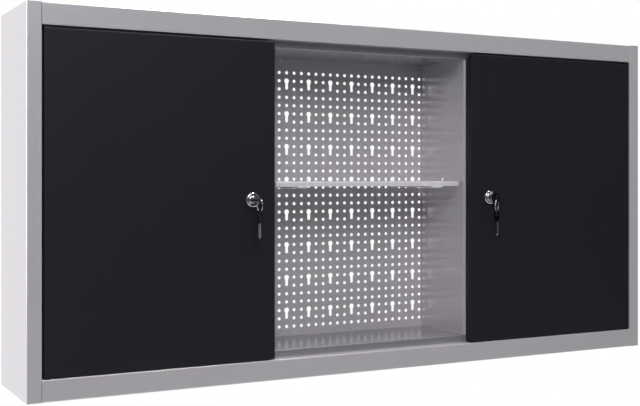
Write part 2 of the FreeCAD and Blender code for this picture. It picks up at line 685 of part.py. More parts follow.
def key_ring(upright):
    """Ring of six-sided wire in short runs, hanging from the key in the right lock."""
    section = []
    half = RING_WIRE / 2.0
    for i in range(RING_WIRE_SIDES + 1):
        turn = 2.0 * math.pi * (i + 0.5) / RING_WIRE_SIDES
        section.append(vec(RING_RADIUS + half * math.cos(turn), half * math.sin(turn), 0))
    loop = [vec(RING_RADIUS, 0, 0)]
    for i in range(RING_RUNS):
        turn = 2.0 * math.pi * (i + 0.5) / RING_RUNS
        corner = RING_RADIUS / math.cos(math.pi / RING_RUNS)
        loop.append(vec(corner * math.cos(turn), 0, corner * math.sin(turn)))
    path = Part.makePolygon(loop + loop[:1])
    ring = path.makePipeShell([Part.makePolygon(section)], True, False, 1)
    ring.rotate(vec(0, 0, 0), Z_AXIS, ring_turn(upright))
    ring.translate(ring_centre(upright))
    return ring


def spare(shape, upright):
    """A key piece hung by its bow's hole from the foot of the ring."""
    placed = shape.copy()
    middle = ring_centre(upright)
    half = KEY_BOW_SHEET / 2.0
    wire_top = middle.z - math.sqrt((RING_INSIDE - RING_SEAT_GAP) ** 2 - half * half)
    slack = KEY_BOW_SHEET * math.tan(math.radians(SPARE_TWIST)) / 2.0
    hole_top = KEY_BLADE_LENGTH + KEY_BOW_LENGTH - KEY_HOLE_MARGIN - slack * slack / KEY_HOLE_LENGTH
    placed.rotate(vec(0, 0, 0), Z_AXIS, ring_turn(upright) + SPARE_TWIST)
    placed.translate(vec(middle.x, middle.y, wire_top - hole_top))
    return placed


def save(name, shape):
    """Write one piece to its own file."""
    shape.exportStep(os.path.join("parts", name + ".step"))


def right_hand_door(upright):
    """Every piece of the right door, by its plain name, with the key as it stands in the lock."""
    blade = key_blade()
    bow = key_bow()
    return {
        "door_panel": door_tray(),
        "door_stiffener": door_stiffener(),
        "hinge_bushes": hinge_bushes(),
        "lock_barrel": lock_barrel(),
        "lock_nut": lock_nut(),
        "lock_plug": lock_plug(upright),
        "lock_cam": lock_cam(),
        "cam_screw": cam_screw(),
        "key_blade": inserted(blade, upright),
        "key_bow": inserted(bow, upright),
        "key_ring": key_ring(upright),
        "spare_key_blade": spare(blade, upright),
        "spare_key_bow": spare(bow, upright),
    }


def main():
    """Build and write every piece."""
    os.makedirs("parts", exist_ok=True)
    pairs = {"side_panel": side_panel(), "partition": partition(), "hinge_pins": hinge_pins()}
    for name, shape in pairs.items():
        save("right_" + name, shape)
        save("left_" + name, mirrored(shape))
    save("top_panel", end_panel(1))
    save("bottom_panel", end_panel(-1))
    save("ceiling_plate", bay_plate(1))
    save("floor_plate", bay_plate(-1))
    save("perforated_back_panel", perforated_panel())
    save("panel_angles", panel_angles())
    save("shelf", shelf())
    left_hook, right_hook = hook_columns()
    save("left_shelf_hook", shelf_hook(left_hook))
    save("right_shelf_hook", shelf_hook(right_hook))
    for name, shape in right_hand_door(True).items():
        save("right_" + name, shape)
    for name, shape in right_hand_door(False).items():
        save("left_" + name, mirrored(shape))


main()
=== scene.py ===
"""Metal wall cabinet: an open middle bay with a perforated back, between two locking doors.

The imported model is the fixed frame. This script dresses its sheet metal in powder coat and builds
the finer pieces: the perforated sheet, wire hooks, cam locks, keys and split rings.
Metres. X to the right, Y into the wall, Z up.
"""

import logging
import math
from dataclasses import dataclass, field
from enum import Enum

import bmesh
import bpy
from bmesh.types import BMEdge, BMesh, BMFace, BMVert
from bpy.types import ID, Material, Node, NodeSocket, NodeTree, Object, ShaderNodeTree
from mathutils import Matrix, Vector


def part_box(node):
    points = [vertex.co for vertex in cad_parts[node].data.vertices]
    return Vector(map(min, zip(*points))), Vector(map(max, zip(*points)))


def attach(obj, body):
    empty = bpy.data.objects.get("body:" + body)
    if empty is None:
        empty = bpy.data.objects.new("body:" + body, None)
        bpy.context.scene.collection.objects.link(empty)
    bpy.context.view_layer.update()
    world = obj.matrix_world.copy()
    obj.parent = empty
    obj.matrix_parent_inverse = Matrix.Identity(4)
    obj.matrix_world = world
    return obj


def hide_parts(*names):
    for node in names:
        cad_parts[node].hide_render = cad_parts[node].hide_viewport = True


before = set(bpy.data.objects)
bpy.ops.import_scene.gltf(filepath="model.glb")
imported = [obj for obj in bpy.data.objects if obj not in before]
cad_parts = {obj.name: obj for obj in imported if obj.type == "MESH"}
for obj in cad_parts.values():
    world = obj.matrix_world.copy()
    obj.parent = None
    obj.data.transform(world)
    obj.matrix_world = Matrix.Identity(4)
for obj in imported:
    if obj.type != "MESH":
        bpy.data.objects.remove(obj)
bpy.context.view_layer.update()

LOG = logging.getLogger("wall_cabinet")
MM = 0.001
X_AXIS = Vector((1.0, 0.0, 0.0))
Y_AXIS = Vector((0.0, 1.0, 0.0))
Z_AXIS = Vector((0.0, 0.0, 1.0))
ORIGIN = Vector((0.0, 0.0, 0.0))
# Range that most values of a noise lie in
USUAL_NOISE = (0.3, 0.7)
# Distance under which two points count as one
NEAR = 0.01 * MM
# Least angle between two faces that shades as a sharp edge
SHARP_FROM = math.radians(32.0)
# Least part of a unit vector that counts as lying along an axis
MOSTLY = 0.9


class Side(Enum):
    """Which door a piece belongs to, with the sign of its X."""

    LEFT = -1
    RIGHT = 1

    @property
    def word(self) -> str:
        """The side's word in node and body names.

        Returns:
            The word.
        """
        return self.name.lower()


class KeyStand(Enum):
    """How the key's bow stands in its lock."""

    UPRIGHT = "upright"
    FLAT = "flat"


# Node helpers, and groups that several finishes share


def node_with(
    tree: NodeTree,
    kind: str,
    inputs: dict[str | int, object],
    operation: str = "",
) -> Node:
    """Add a node and fill its inputs.

    Args:
        tree: The tree that gets the node.
        kind: The node's type.
        inputs: A value or a socket to link, for each input.
        operation: The node's operation, where it has one.

    Returns:
        The new node.
    """
    node = tree.nodes.new(kind)
    if operation:
        node.operation = operation
    for label, given in inputs.items():
        if isinstance(given, NodeSocket):
            tree.links.new(given, node.inputs[label])
        else:
            node.inputs[label].default_value = given
    return node


def math_with(tree: NodeTree, operation: str, *terms: object) -> NodeSocket:
    """Add a Math node.

    Args:
        tree: The tree that gets the node.
        operation: The sum to do.
        terms: A value or a socket for each input.

    Returns:
        The result's socket.
    """
    return node_with(tree, "ShaderNodeMath", dict(enumerate(terms)), operation).outputs[0]


def spread(
    tree: NodeTree,
    source: NodeSocket,
    given: tuple[float, float],
    wanted: tuple[object, object],
) -> NodeSocket:
    """Stretch a value from one range to another.

    Args:
        tree: The tree that gets the node.
        source: The socket to stretch.
        given: Ends of the first range.
        wanted: Ends of the second range, as values or sockets.

    Returns:
        The stretched value's socket.
    """
    ends = {"From Min": given[0], "From Max": given[1], "To Min": wanted[0], "To Max": wanted[1]}
    return node_with(tree, "ShaderNodeMapRange", {"Value": source, **ends}).outputs["Result"]


def new_group(name: str, inputs: dict[str, float], outputs: tuple[str, ...]) -> ShaderNodeTree:
    """Start a shader node group with float sockets.

    Args:
        name: The group's name.
        inputs: Input names with their default values.
        outputs: Output names.

    Returns:
        The new group, holding only its input and output nodes.
    """
    group = bpy.data.node_groups.new(name, "ShaderNodeTree")
    for label, value in inputs.items():
        socket = group.interface.new_socket(name=label, in_out="INPUT", socket_type="NodeSocketFloat")
        socket.default_value = value
    for label in outputs:
        group.interface.new_socket(name=label, in_out="OUTPUT", socket_type="NodeSocketFloat")
    group.nodes.new("NodeGroupInput")
    group.nodes.new("NodeGroupOutput")
    return group


def noise(tree: NodeTree, scale: float, detail: float) -> NodeSocket:
    """Add a noise texture on Object coordinates.

    Args:
        tree: The tree that gets the texture.
        scale: Noise features per metre.
        detail: Octaves of finer noise.

    Returns:
        The noise value's socket.
    """
    place = tree.nodes.new("ShaderNodeTexCoord").outputs["Object"]
    inputs = {"Vector": place, "Scale": scale, "Detail": detail}
    return node_with(tree, "ShaderNodeTexNoise", inputs).outputs["Fac"]


def powder_group() -> ShaderNodeTree:
    """Powder coat: slow tone drift, fine speckle, and the orange-peel height of the coat.

    Returns:
        The group, made once.
    """
    name = "powder_coat"
    if name in bpy.data.node_groups:
        return bpy.data.node_groups[name]
    group = new_group(name, {"Speckle": 0.06, "Drift": 0.05}, ("Tone", "Gloss", "Peel"))
    given = group.nodes["Group Input"].outputs
    out = group.nodes["Group Output"].inputs
    drift = spread(group, noise(group, scale=3.0, detail=2.0), USUAL_NOISE, (-1.0, 1.0))
    speckle = spread(group, noise(group, scale=1800.0, detail=1.0), USUAL_NOISE, (-1.0, 1.0))
    slow = math_with(group, "MULTIPLY", drift, given["Drift"])
    fine = math_with(group, "MULTIPLY", speckle, given["Speckle"])
    both = math_with(group, "ADD", slow, fine)
    group.links.new(math_with(group, "ADD", both, 1.0), out["Tone"])
    smear = spread(group, noise(group, scale=14.0, detail=3.0), USUAL_NOISE, (-0.012, 0.015))
    group.links.new(smear, out["Gloss"])
    group.links.new(noise(group, scale=520.0, detail=2.0), out["Peel"])
    return group


def plating_group() -> ShaderNodeTree:
    """Plated metal: cloudy tone and fine handling scratches.

    Returns:
        The group, made once.
    """
    name = "plating"
    if name in bpy.data.node_groups:
        return bpy.data.node_groups[name]
    group = new_group(name, {"Cloud": 0.12}, ("Tone", "Gloss", "Scratch"))
    given = group.nodes["Group Input"].outputs
    out = group.nodes["Group Output"].inputs
    cloud = spread(group, noise(group, scale=260.0, detail=3.0), USUAL_NOISE, (-1.0, 1.0))
    group.links.new(math_with(group, "MULTIPLY_ADD", cloud, given["Cloud"], 1.0), out["Tone"])
    place = group.nodes.new("ShaderNodeTexCoord").outputs["Object"]
    drawn_out = {"Vector": place, "Rotation": (0.4, 0.9, 0.3), "Scale": (1.0, 1.0, 18.0)}
    along = node_with(group, "ShaderNodeMapping", drawn_out).outputs["Vector"]
    lines = node_with(group, "ShaderNodeTexNoise", {"Vector": along, "Scale": 220.0, "Detail": 4.0})
    group.links.new(lines.outputs["Fac"], out["Scratch"])
    haze = spread(group, noise(group, scale=420.0, detail=2.0), USUAL_NOISE, (-0.05, 0.08))
    group.links.new(haze, out["Gloss"])
    return group


# Finishes


@dataclass(frozen=True)
class Finish:
    """What every finish has: a name, the record's slot, and a main colour.

    Attributes:
        name: Material name.
        slot: The record's material slot, or a lighter or darker copy of one that paints in light or shade.
        colour: Linear red, green and blue.
        roughness: Middle roughness.
    """

    name: str
    slot: str
    colour: tuple[float, float, float]
    roughness: float

    def dressed(
        self,
        group: ShaderNodeTree,
        settings: dict[str, float],
        height: str,
        depth: float,
        shader_values: dict[str, float],
    ) -> Material:
        """Make a material whose tone, gloss and normal come from a group.

        Args:
            group: The group, with Tone and Gloss outputs.
            settings: Values of the group's inputs.
            height: The group's height output.
            depth: Depth of that height in metres.
            shader_values: Constant values of the shader's inputs.

        Returns:
            The material.
        """
        material = bpy.data.materials.new(self.name)
        material.use_nodes = True
        tree = material.node_tree
        shader = tree.nodes["Principled BSDF"]
        for label, value in shader_values.items():
            shader.inputs[label].default_value = value
        skin = tree.nodes.new("ShaderNodeGroup")
        skin.node_tree = group
        for label, value in settings.items():
            skin.inputs[label].default_value = value
        toned = node_with(
            tree, "ShaderNodeVectorMath", {0: self.colour, "Scale": skin.outputs["Tone"]}, "SCALE"
        )
        tree.links.new(toned.outputs["Vector"], shader.inputs["Base Color"])
        gloss = node_with(tree, "ShaderNodeMath", {0: skin.outputs["Gloss"], 1: self.roughness})
        gloss.use_clamp = True
        tree.links.new(gloss.outputs[0], shader.inputs["Roughness"])
        bump = node_with(tree, "ShaderNodeBump", {"Distance": depth, "Height": skin.outputs[height]})
        tree.links.new(bump.outputs["Normal"], shader.inputs["Normal"])
        return material


@dataclass(frozen=True)
class PowderCoat(Finish):
    """Baked powder paint on sheet steel.

    Attributes:
        specular: Specular level of the coat.
        flake: Share of metal flake in the paint.
        speckle: Strength of the fine speckle.
        drift: Strength of the slow tone drift.
        peel: Depth of the orange peel in metres.
    """

    specular: float = 0.5
    flake: float = 0.0
    speckle: float = 0.05
    drift: float = 0.03
    peel: float = 0.000004

    def material(self) -> Material:
        """Build the paint material.

        Returns:
            The material.
        """
        settings = {"Speckle": self.speckle, "Drift": self.drift}
        values = {"Specular IOR Level": self.specular, "Metallic": self.flake}
        return self.dressed(powder_group(), settings, "Peel", self.peel, values)


@dataclass(frozen=True)
class SilverCoat(PowderCoat):
    """The body's silver paint, with metal flake and an even tone."""

    flake: float = 0.4
    speckle: float = 0.02
    drift: float = 0.01


@dataclass(frozen=True)
class PlatedMetal(Finish):
    """Zinc, nickel or chrome plate.

    Attributes:
        film: Share of the surface given a pale matt colour in place of bare metal; it paints in a bright
            sheen.
        cloud: Strength of the cloudy tone.
        scratch: Depth of the scratches in metres.
    """

    film: float = 0.0
    cloud: float = 0.1
    scratch: float = 0.00001

    def material(self) -> Material:
        """Build the plated material.

        Returns:
            The material.
        """
        # Part of the metal turns to a pale matt colour, which paints in a bright sheen
        values = {"Metallic": 1.0 - self.film}
        return self.dressed(plating_group(), {"Cloud": self.cloud}, "Scratch", self.scratch, values)


@dataclass(frozen=True)
class MouldedPlastic(Finish):
    """Moulded plastic with a fine grain.

    Attributes:
        specular: Specular level of the plastic.
        speckle: Strength of the fine speckle.
        drift: Strength of the slow tone drift.
        grain: Depth of the grain in metres.
    """

    specular: float = 0.12
    speckle: float = 0.1
    drift: float = 0.05
    grain: float = 0.00002

    def material(self) -> Material:
        """Build the plastic material.

        Returns:
            The material.
        """
        settings = {"Speckle": self.speckle, "Drift": self.drift}
        values = {"Specular IOR Level": self.specular}
        return self.dressed(powder_group(), settings, "Peel", self.grain, values)


FINISHES: tuple[PowderCoat | PlatedMetal | MouldedPlastic, ...] = (
    SilverCoat("silver_powder_coat", "body_paint", (0.595, 0.572, 0.606), 0.24),
    SilverCoat("panel_powder_coat", "panel_paint", (0.595, 0.572, 0.606), 0.26),
    # Lighter copy of the silver coat for the shelf: painted highlight of its front bend
    SilverCoat("shelf_powder_coat", "shelf_highlight_paint", (0.78, 0.752, 0.79), 0.26, flake=0.3),
    # Darker copy of the silver coat for the ceiling and floor plates: painted shade of the recessed bay
    SilverCoat("inner_powder_coat", "inner_painted_shade", (0.32, 0.312, 0.336), 0.22, flake=0.5),
    PowderCoat(
        "black_powder_coat", "door_paint", (0.0106, 0.0118, 0.0178), 0.46, specular=0.2, speckle=0.2
    ),
    # The zinc wire is part pale matt colour in place of metal: painted sheen of the bright wire
    PlatedMetal("bright_zinc_wire", "zinc_wire", (0.93, 0.93, 0.94), 0.45, film=0.6),
    PlatedMetal("zinc_plate", "zinc_steel", (0.62, 0.62, 0.63), 0.34, cloud=0.18),
    PlatedMetal("lock_chrome", "lock_chrome", (0.66, 0.67, 0.69), 0.12, cloud=0.05),
    PlatedMetal("key_nickel", "key_nickel", (0.44, 0.44, 0.455), 0.28, scratch=0.00002),
    MouldedPlastic("key_plastic", "key_plastic", (0.004, 0.004, 0.0045), 0.5),
    MouldedPlastic("bush_nylon", "bush_nylon", (0.015, 0.015, 0.016), 0.5),
)


def placed(name: str, data: ID) -> Object:
    """Add an object to the scene.

    Args:
        name: The object's name.
        data: Its mesh, lamp or camera.

    Returns:
        The object.
    """
    thing = bpy.data.objects.new(name, data)
    bpy.context.scene.collection.objects.link(thing)
    return thing


class Paintbox:
    """Every material of the cabinet, by the record's slot."""

    def __init__(self) -> None:
        """Build each finish once."""
        self.materials = {finish.slot: finish.material() for finish in FINISHES}

    def dress_node(self, node: str, slot: str) -> None:
        """Give a CAD node its finish.

        Args:
            node: The node's name.
            slot: The record's material slot.
        """
        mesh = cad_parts[node].data
        if not mesh.materials:
            mesh.materials.append(None)
        for index in range(len(mesh.materials)):
            mesh.materials[index] = self.materials[slot]
        LOG.info("dressed %s in %s", node, slot)

    def piece(self, name: str, bm: BMesh, slot: str, body: str, replaced: str) -> None:
        """Turn a finished bmesh into a piece that stands for a CAD node.

        Args:
            name: Piece name.
            bm: The mesh, in its place in the row frame. It is freed.
            slot: The record's material slot.
            body: The CAD body that carries the piece.
            replaced: The CAD node that the piece stands for.
        """
        bmesh.ops.remove_doubles(bm, verts=bm.verts[:], dist=NEAR / 5.0)
        bmesh.ops.recalc_face_normals(bm, faces=bm.faces[:])
        mesh = bpy.data.meshes.new(name)
        bm.to_mesh(mesh)
        bm.free()
        mesh.materials.append(self.materials[slot])
        mesh.shade_smooth()
        mesh.set_sharp_from_angle(angle=SHARP_FROM)
        piece = placed(name, mesh)
        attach(piece, body)
        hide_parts(replaced)
        LOG.info("built %s, %d faces, on %s", name, len(mesh.polygons), body)


# Shapes that several pieces share


def spun(profile: list[tuple[float, float]], steps: int) -> BMesh:
    """Spin a closed profile once round the Y axis.

    Args:
        profile: Radius and Y of each point, in order.
        steps: Steps of the full turn.

    Returns:
        The turned mesh about the origin.
    """
    bm = bmesh.new()
    points = [bm.verts.new((radius, y, 0.0)) for radius, y in profile]
    edges = [bm.edges.new(pair) for pair in zip(points, points[1:] + points[:1])]
    bmesh.ops.spin(
        bm,
        geom=points + edges,
        cent=ORIGIN,
        axis=Y_AXIS,
        angle=2.0 * math.pi,
        steps=steps,
        use_merge=True,
    )
    bmesh.ops.remove_doubles(bm, verts=bm.verts[:], dist=NEAR / 10.0)
    bmesh.ops.recalc_face_normals(bm, faces=bm.faces[:])
    return bm


def squared(vert: BMVert, half_x: float, half_z: float) -> None:
    """Push a vertex out from the Y axis to the border of a rectangle.

    Args:
        vert: The vertex to move.
        half_x: Half the rectangle's width.
        half_z: Half the rectangle's height.
    """
    least = NEAR / 1e4
    reach = min(half_x / max(abs(vert.co.x), least), half_z / max(abs(vert.co.z), least))
    vert.co.x *= reach
    vert.co.z *= reach


def loop_facing_front(bm: BMesh, radius: float, sides: int) -> list[BMVert]:
    """Add a ring of edges round the Y axis.

    Args:
        bm: The mesh that gets the ring.
        radius: Ring radius.
        sides: Number of edges.

    Returns:
        The ring's vertices.
    """
    upright = Matrix.Rotation(math.radians(90.0), 4, "X")
    made = bmesh.ops.create_circle(bm, cap_ends=False, segments=sides, radius=radius, matrix=upright)
    return made["verts"]


def only(geom: list[object], kind: type) -> list:
    """Pick the elements of one kind from an operator's result.

    Args:
        geom: The operator's geometry.
        kind: The wanted element type.

    Returns:
        Those elements, in order.
    """
    return [item for item in geom if isinstance(item, kind)]


def hexagon_radius(low: Vector, high: Vector) -> float:
    """Corner radius of the largest hexagon about the Y axis that fits in a box.

    Args:
        low: The box's low corner.
        high: The box's high corner.

    Returns:
        The radius.
    """
    flats = min(high.x - low.x, high.z - low.z)
    return flats / 2.0 / math.cos(math.radians(30.0))


def hexagon_turned(bm: BMesh, low: Vector, high: Vector) -> None:
    """Stand a hexagon on its corner where its box is taller than wide.

    Args:
        bm: A mesh that is one hexagon about the Y axis.
        low: The box's low corner.
        high: The box's high corner.
    """
    if high.x - low.x < high.z - low.z:
        turn = Matrix.Rotation(math.radians(30.0), 3, "Y")
        bmesh.ops.rotate(bm, verts=bm.verts[:], cent=ORIGIN, matrix=turn)


def loop_edges(verts: list[BMVert]) -> list[BMEdge]:
    """Find the edges that join a set of vertices.

    Args:
        verts: The vertices.

    Returns:
        The edges.
    """
    chosen = set(verts)
    return list({edge for vert in verts for edge in vert.link_edges if set(edge.verts) <= chosen})


def drawn(bm: BMesh, edges: list[BMEdge]) -> list[BMVert]:
    """Draw a strip of faces from a row of edges, at first without width.

    Args:
        bm: The mesh.
        edges: The edges.

    Returns:
        The strip's new vertices.
    """
    return only(bmesh.ops.extrude_edge_only(bm, edges=edges)["geom"], BMVert)


def swept(
    bm: BMesh,
    loop: list[BMEdge],
    centre: Vector,
    axis: Vector,
    angle: float,
    steps: int,
    rise: float = 0.0,
) -> list[BMEdge]:
    """Carry an open end round an axis.

    Args:
        bm: The mesh.
        loop: The open end's edges.
        centre: A point on the axis.
        axis: Way of the axis.
        angle: Angle of the sweep.
        steps: Steps of the sweep.
        rise: How far the end moves along the axis on its way.

    Returns:
        The new open end's edges.
    """
    verts = list({vert for edge in loop for vert in edge.verts})
    made = bmesh.ops.spin(
        bm,
        geom=verts + loop,
        cent=centre,
        axis=axis,
        dvec=axis * (rise / steps),
        angle=angle,
        steps=steps,
    )
    return only(made["geom_last"], BMEdge)


def thickened(bm: BMesh, depth: Vector) -> None:
    """Give a flat sheet its thickness.

    Args:
        bm: A mesh that is one flat sheet.
        depth: The way and distance from its first face to its second.
    """
    made = bmesh.ops.extrude_face_region(bm, geom=bm.faces[:], use_keep_orig=True)
    bmesh.ops.translate(bm, verts=only(made["geom"], BMVert), vec=depth)
    bmesh.ops.recalc_face_normals(bm, faces=bm.faces[:])


def rounded(
    bm: BMesh,
    geom: list[BMEdge] | list[BMVert],
    offset: float,
    segments: int,
    affect: str = "EDGES",
) -> None:
    """Bevel edges or corners.

    Args:
        bm: The mesh.
        geom: The edges or vertices.
        offset: Bevel width.
        segments: Bevel segments.
        affect: EDGES or VERTICES.
    """
    bmesh.ops.bevel(
        bm,
        geom=geom,
        offset=offset,
        affect=affect,
        segments=segments,
        profile=0.5,
        material=-1,
        clamp_overlap=True,
    )


def softened(bm: BMesh, offset: float, segments: int, angle: float) -> None:
    """Bevel every edge sharper than an angle.

    Args:
        bm: The mesh.
        offset: Bevel width.
        segments: Bevel segments.
        angle: Least angle between faces, in degrees.
    """
    limit = math.radians(angle)
    sharp = [edge for edge in bm.edges if edge.is_manifold and edge.calc_face_angle(0.0) > limit]
    rounded(bm, sharp, offset, segments)


@dataclass
class PerforatedSheet:
    """Back panel: one sheet with round holes and keyholes behind the middle bay.

    Attributes:
        paintbox: The cabinet's materials.
        pitch: Distance between holes both ways.
        columns: Hole columns.
        rows: Hole rows.
        top_row_z: Height of the top row.
        hole_radius: Radius of a plain hole.
        head_radius: Radius of a keyhole's round end.
        slot_half: Half the width of a keyhole's slot.
        foot_drop: Drop from the slot's last row to the slot's foot.
        slot_reach: Share of the cell's half height to which a slot's sides are drawn.
        sides: Edges of each hole.
        column_step: Keyholes stand in every such column.
        row_step: Keyholes stand in every such row.
        first_head_row: Row of the top keyholes' round ends.
    """

    paintbox: Paintbox
    pitch: float = 15.0 * MM
    columns: int = 26
    rows: int = 32
    top_row_z: float = 228.5 * MM
    hole_radius: float = 3.0 * MM
    head_radius: float = 4.75 * MM
    slot_half: float = 2.75 * MM
    foot_drop: float = 0.5 * MM
    slot_reach: float = 0.9
    sides: int = 16
    column_step: int = 3
    row_step: int = 4
    first_head_row: int = 1

    def build(self) -> None:
        """Build the sheet in place of its CAD node."""
        node = "perforated_back_panel"
        low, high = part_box(node)
        bm = bmesh.new()
        plain = self.cell(bm, self.hole_radius)
        head = self.keyhole_head(bm)
        foot = self.keyhole_foot(bm)
        for column in range(self.columns):
            for row in range(self.rows):
                cell = plain
                if column % self.column_step == 0 and row >= self.first_head_row:
                    step = (row - self.first_head_row) % self.row_step
                    cell = {0: head, 1: foot}.get(step, plain)
                self.stamp(bm, cell, column, row, low.y)
        for cell in (plain, head, foot):
            bmesh.ops.delete(bm, geom=cell, context="FACES")
        bmesh.ops.remove_doubles(bm, verts=bm.verts[:], dist=NEAR)
        self.margin(bm, 0, low.x, high.x)
        self.margin(bm, 2, low.z, high.z)
        thickened(bm, Y_AXIS * (high.y - low.y))
        self.paintbox.piece("perforated_sheet", bm, "panel_paint", "cabinet", node)

    def cell(self, bm: BMesh, radius: float) -> list[BMFace]:
        """Make one square of sheet round a hole.

        Args:
            bm: The mesh that gets the square.
            radius: Hole radius.

        Returns:
            The square's faces.
        """
        ring = loop_facing_front(bm, radius, self.sides)
        made = bmesh.ops.extrude_edge_only(bm, edges=loop_edges(ring))
        for vert in only(made["geom"], BMVert):
            squared(vert, self.pitch / 2.0, self.pitch / 2.0)
        return only(made["geom"], BMFace)

    def opened(self, bm: BMesh, faces: list[BMFace], way: float) -> list[BMFace]:
        """Open a cell upwards or downwards for the slot.

        Args:
            bm: The mesh that holds the cell.
            faces: The cell's faces.
            way: 1 to open its top, -1 to open its foot.

        Returns:
            The faces that are left.
        """
        shut = []
        for face in faces:
            middle = face.calc_center_median()
            if middle.z * way > 0.0 and abs(middle.x) < self.pitch / 8.0:
                shut.append(face)
        left = [face for face in faces if face not in shut]
        bmesh.ops.delete(bm, geom=shut, context="FACES")
        border = self.pitch / 2.0
        for vert in {vert for face in left for vert in face.verts}:
            at_mouth = abs(vert.co.z * way - border) < NEAR
            if at_mouth and abs(vert.co.x) < border / 2.0:
                vert.co.x = math.copysign(self.slot_half, vert.co.x)
        return left

    def keyhole_head(self, bm: BMesh) -> list[BMFace]:
        """Make the cell of a keyhole's round end, open below.

        Args:
            bm: The mesh that gets the cell.

        Returns:
            The cell's faces.
        """
        left = self.opened(bm, self.cell(bm, self.head_radius), -1.0)
        neck = math.sqrt(self.head_radius**2 - self.slot_half**2)
        for vert in {vert for face in left for vert in face.verts}:
            inside = vert.co.length < self.head_radius + NEAR
            if inside and vert.co.z < 0.0 and abs(vert.co.x) < self.slot_half:
                vert.co.x = math.copysign(self.slot_half, vert.co.x)
                vert.co.z = -neck
        return left

    def keyhole_foot(self, bm: BMesh) -> list[BMFace]:
        """Make the cell of a keyhole's slot end, open above.

        Args:
            bm: The mesh that gets the cell.

        Returns:
            The cell's faces.
        """
        left = self.opened(bm, self.cell(bm, self.slot_half), 1.0)
        for vert in {vert for face in left for vert in face.verts}:
            if vert.co.length > self.slot_half + NEAR:
                continue
            if vert.co.z > NEAR / 10.0:
                share = vert.co.z / self.slot_half
                vert.co.x = math.copysign(self.slot_half, vert.co.x)
                vert.co.z = share * self.pitch / 2.0 * self.slot_reach
            else:
                vert.co.z *= self.foot_drop / self.slot_half
        return left

    def stamp(self, bm: BMesh, cell: list[BMFace], column: int, row: int, y: float) -> None:
        """Copy a cell to its place in the field.

        Args:
            bm: The mesh that holds the cell.
            cell: The cell's faces, about the origin.
            column: Column from the left.
            row: Row from the top.
            y: The sheet's front face.
        """
        copied = only(bmesh.ops.duplicate(bm, geom=cell)["geom"], BMVert)
        x = self.pitch * (column - (self.columns - 1) / 2.0)
        z = self.top_row_z - self.pitch * row
        bmesh.ops.translate(bm, verts=copied, vec=(x, y, z))

    def margin(self, bm: BMesh, axis: int, low: float, high: float) -> None:
        """Carry the field out to the sheet's edges along one axis.

        Args:
            bm: The mesh of the field.
            axis: 0 for the sides, 2 for the top and foot.
            low: The sheet's low edge.
            high: The sheet's high edge.
        """
        ends = [vert.co[axis] for vert in bm.verts]
        for at, to in ((min(ends), low), (max(ends), high)):
            border = [
                edge
                for edge in bm.edges
                if edge.is_boundary and all(abs(vert.co[axis] - at) < NEAR for vert in edge.verts)
            ]
            for vert in drawn(bm, border):
                vert.co[axis] = to


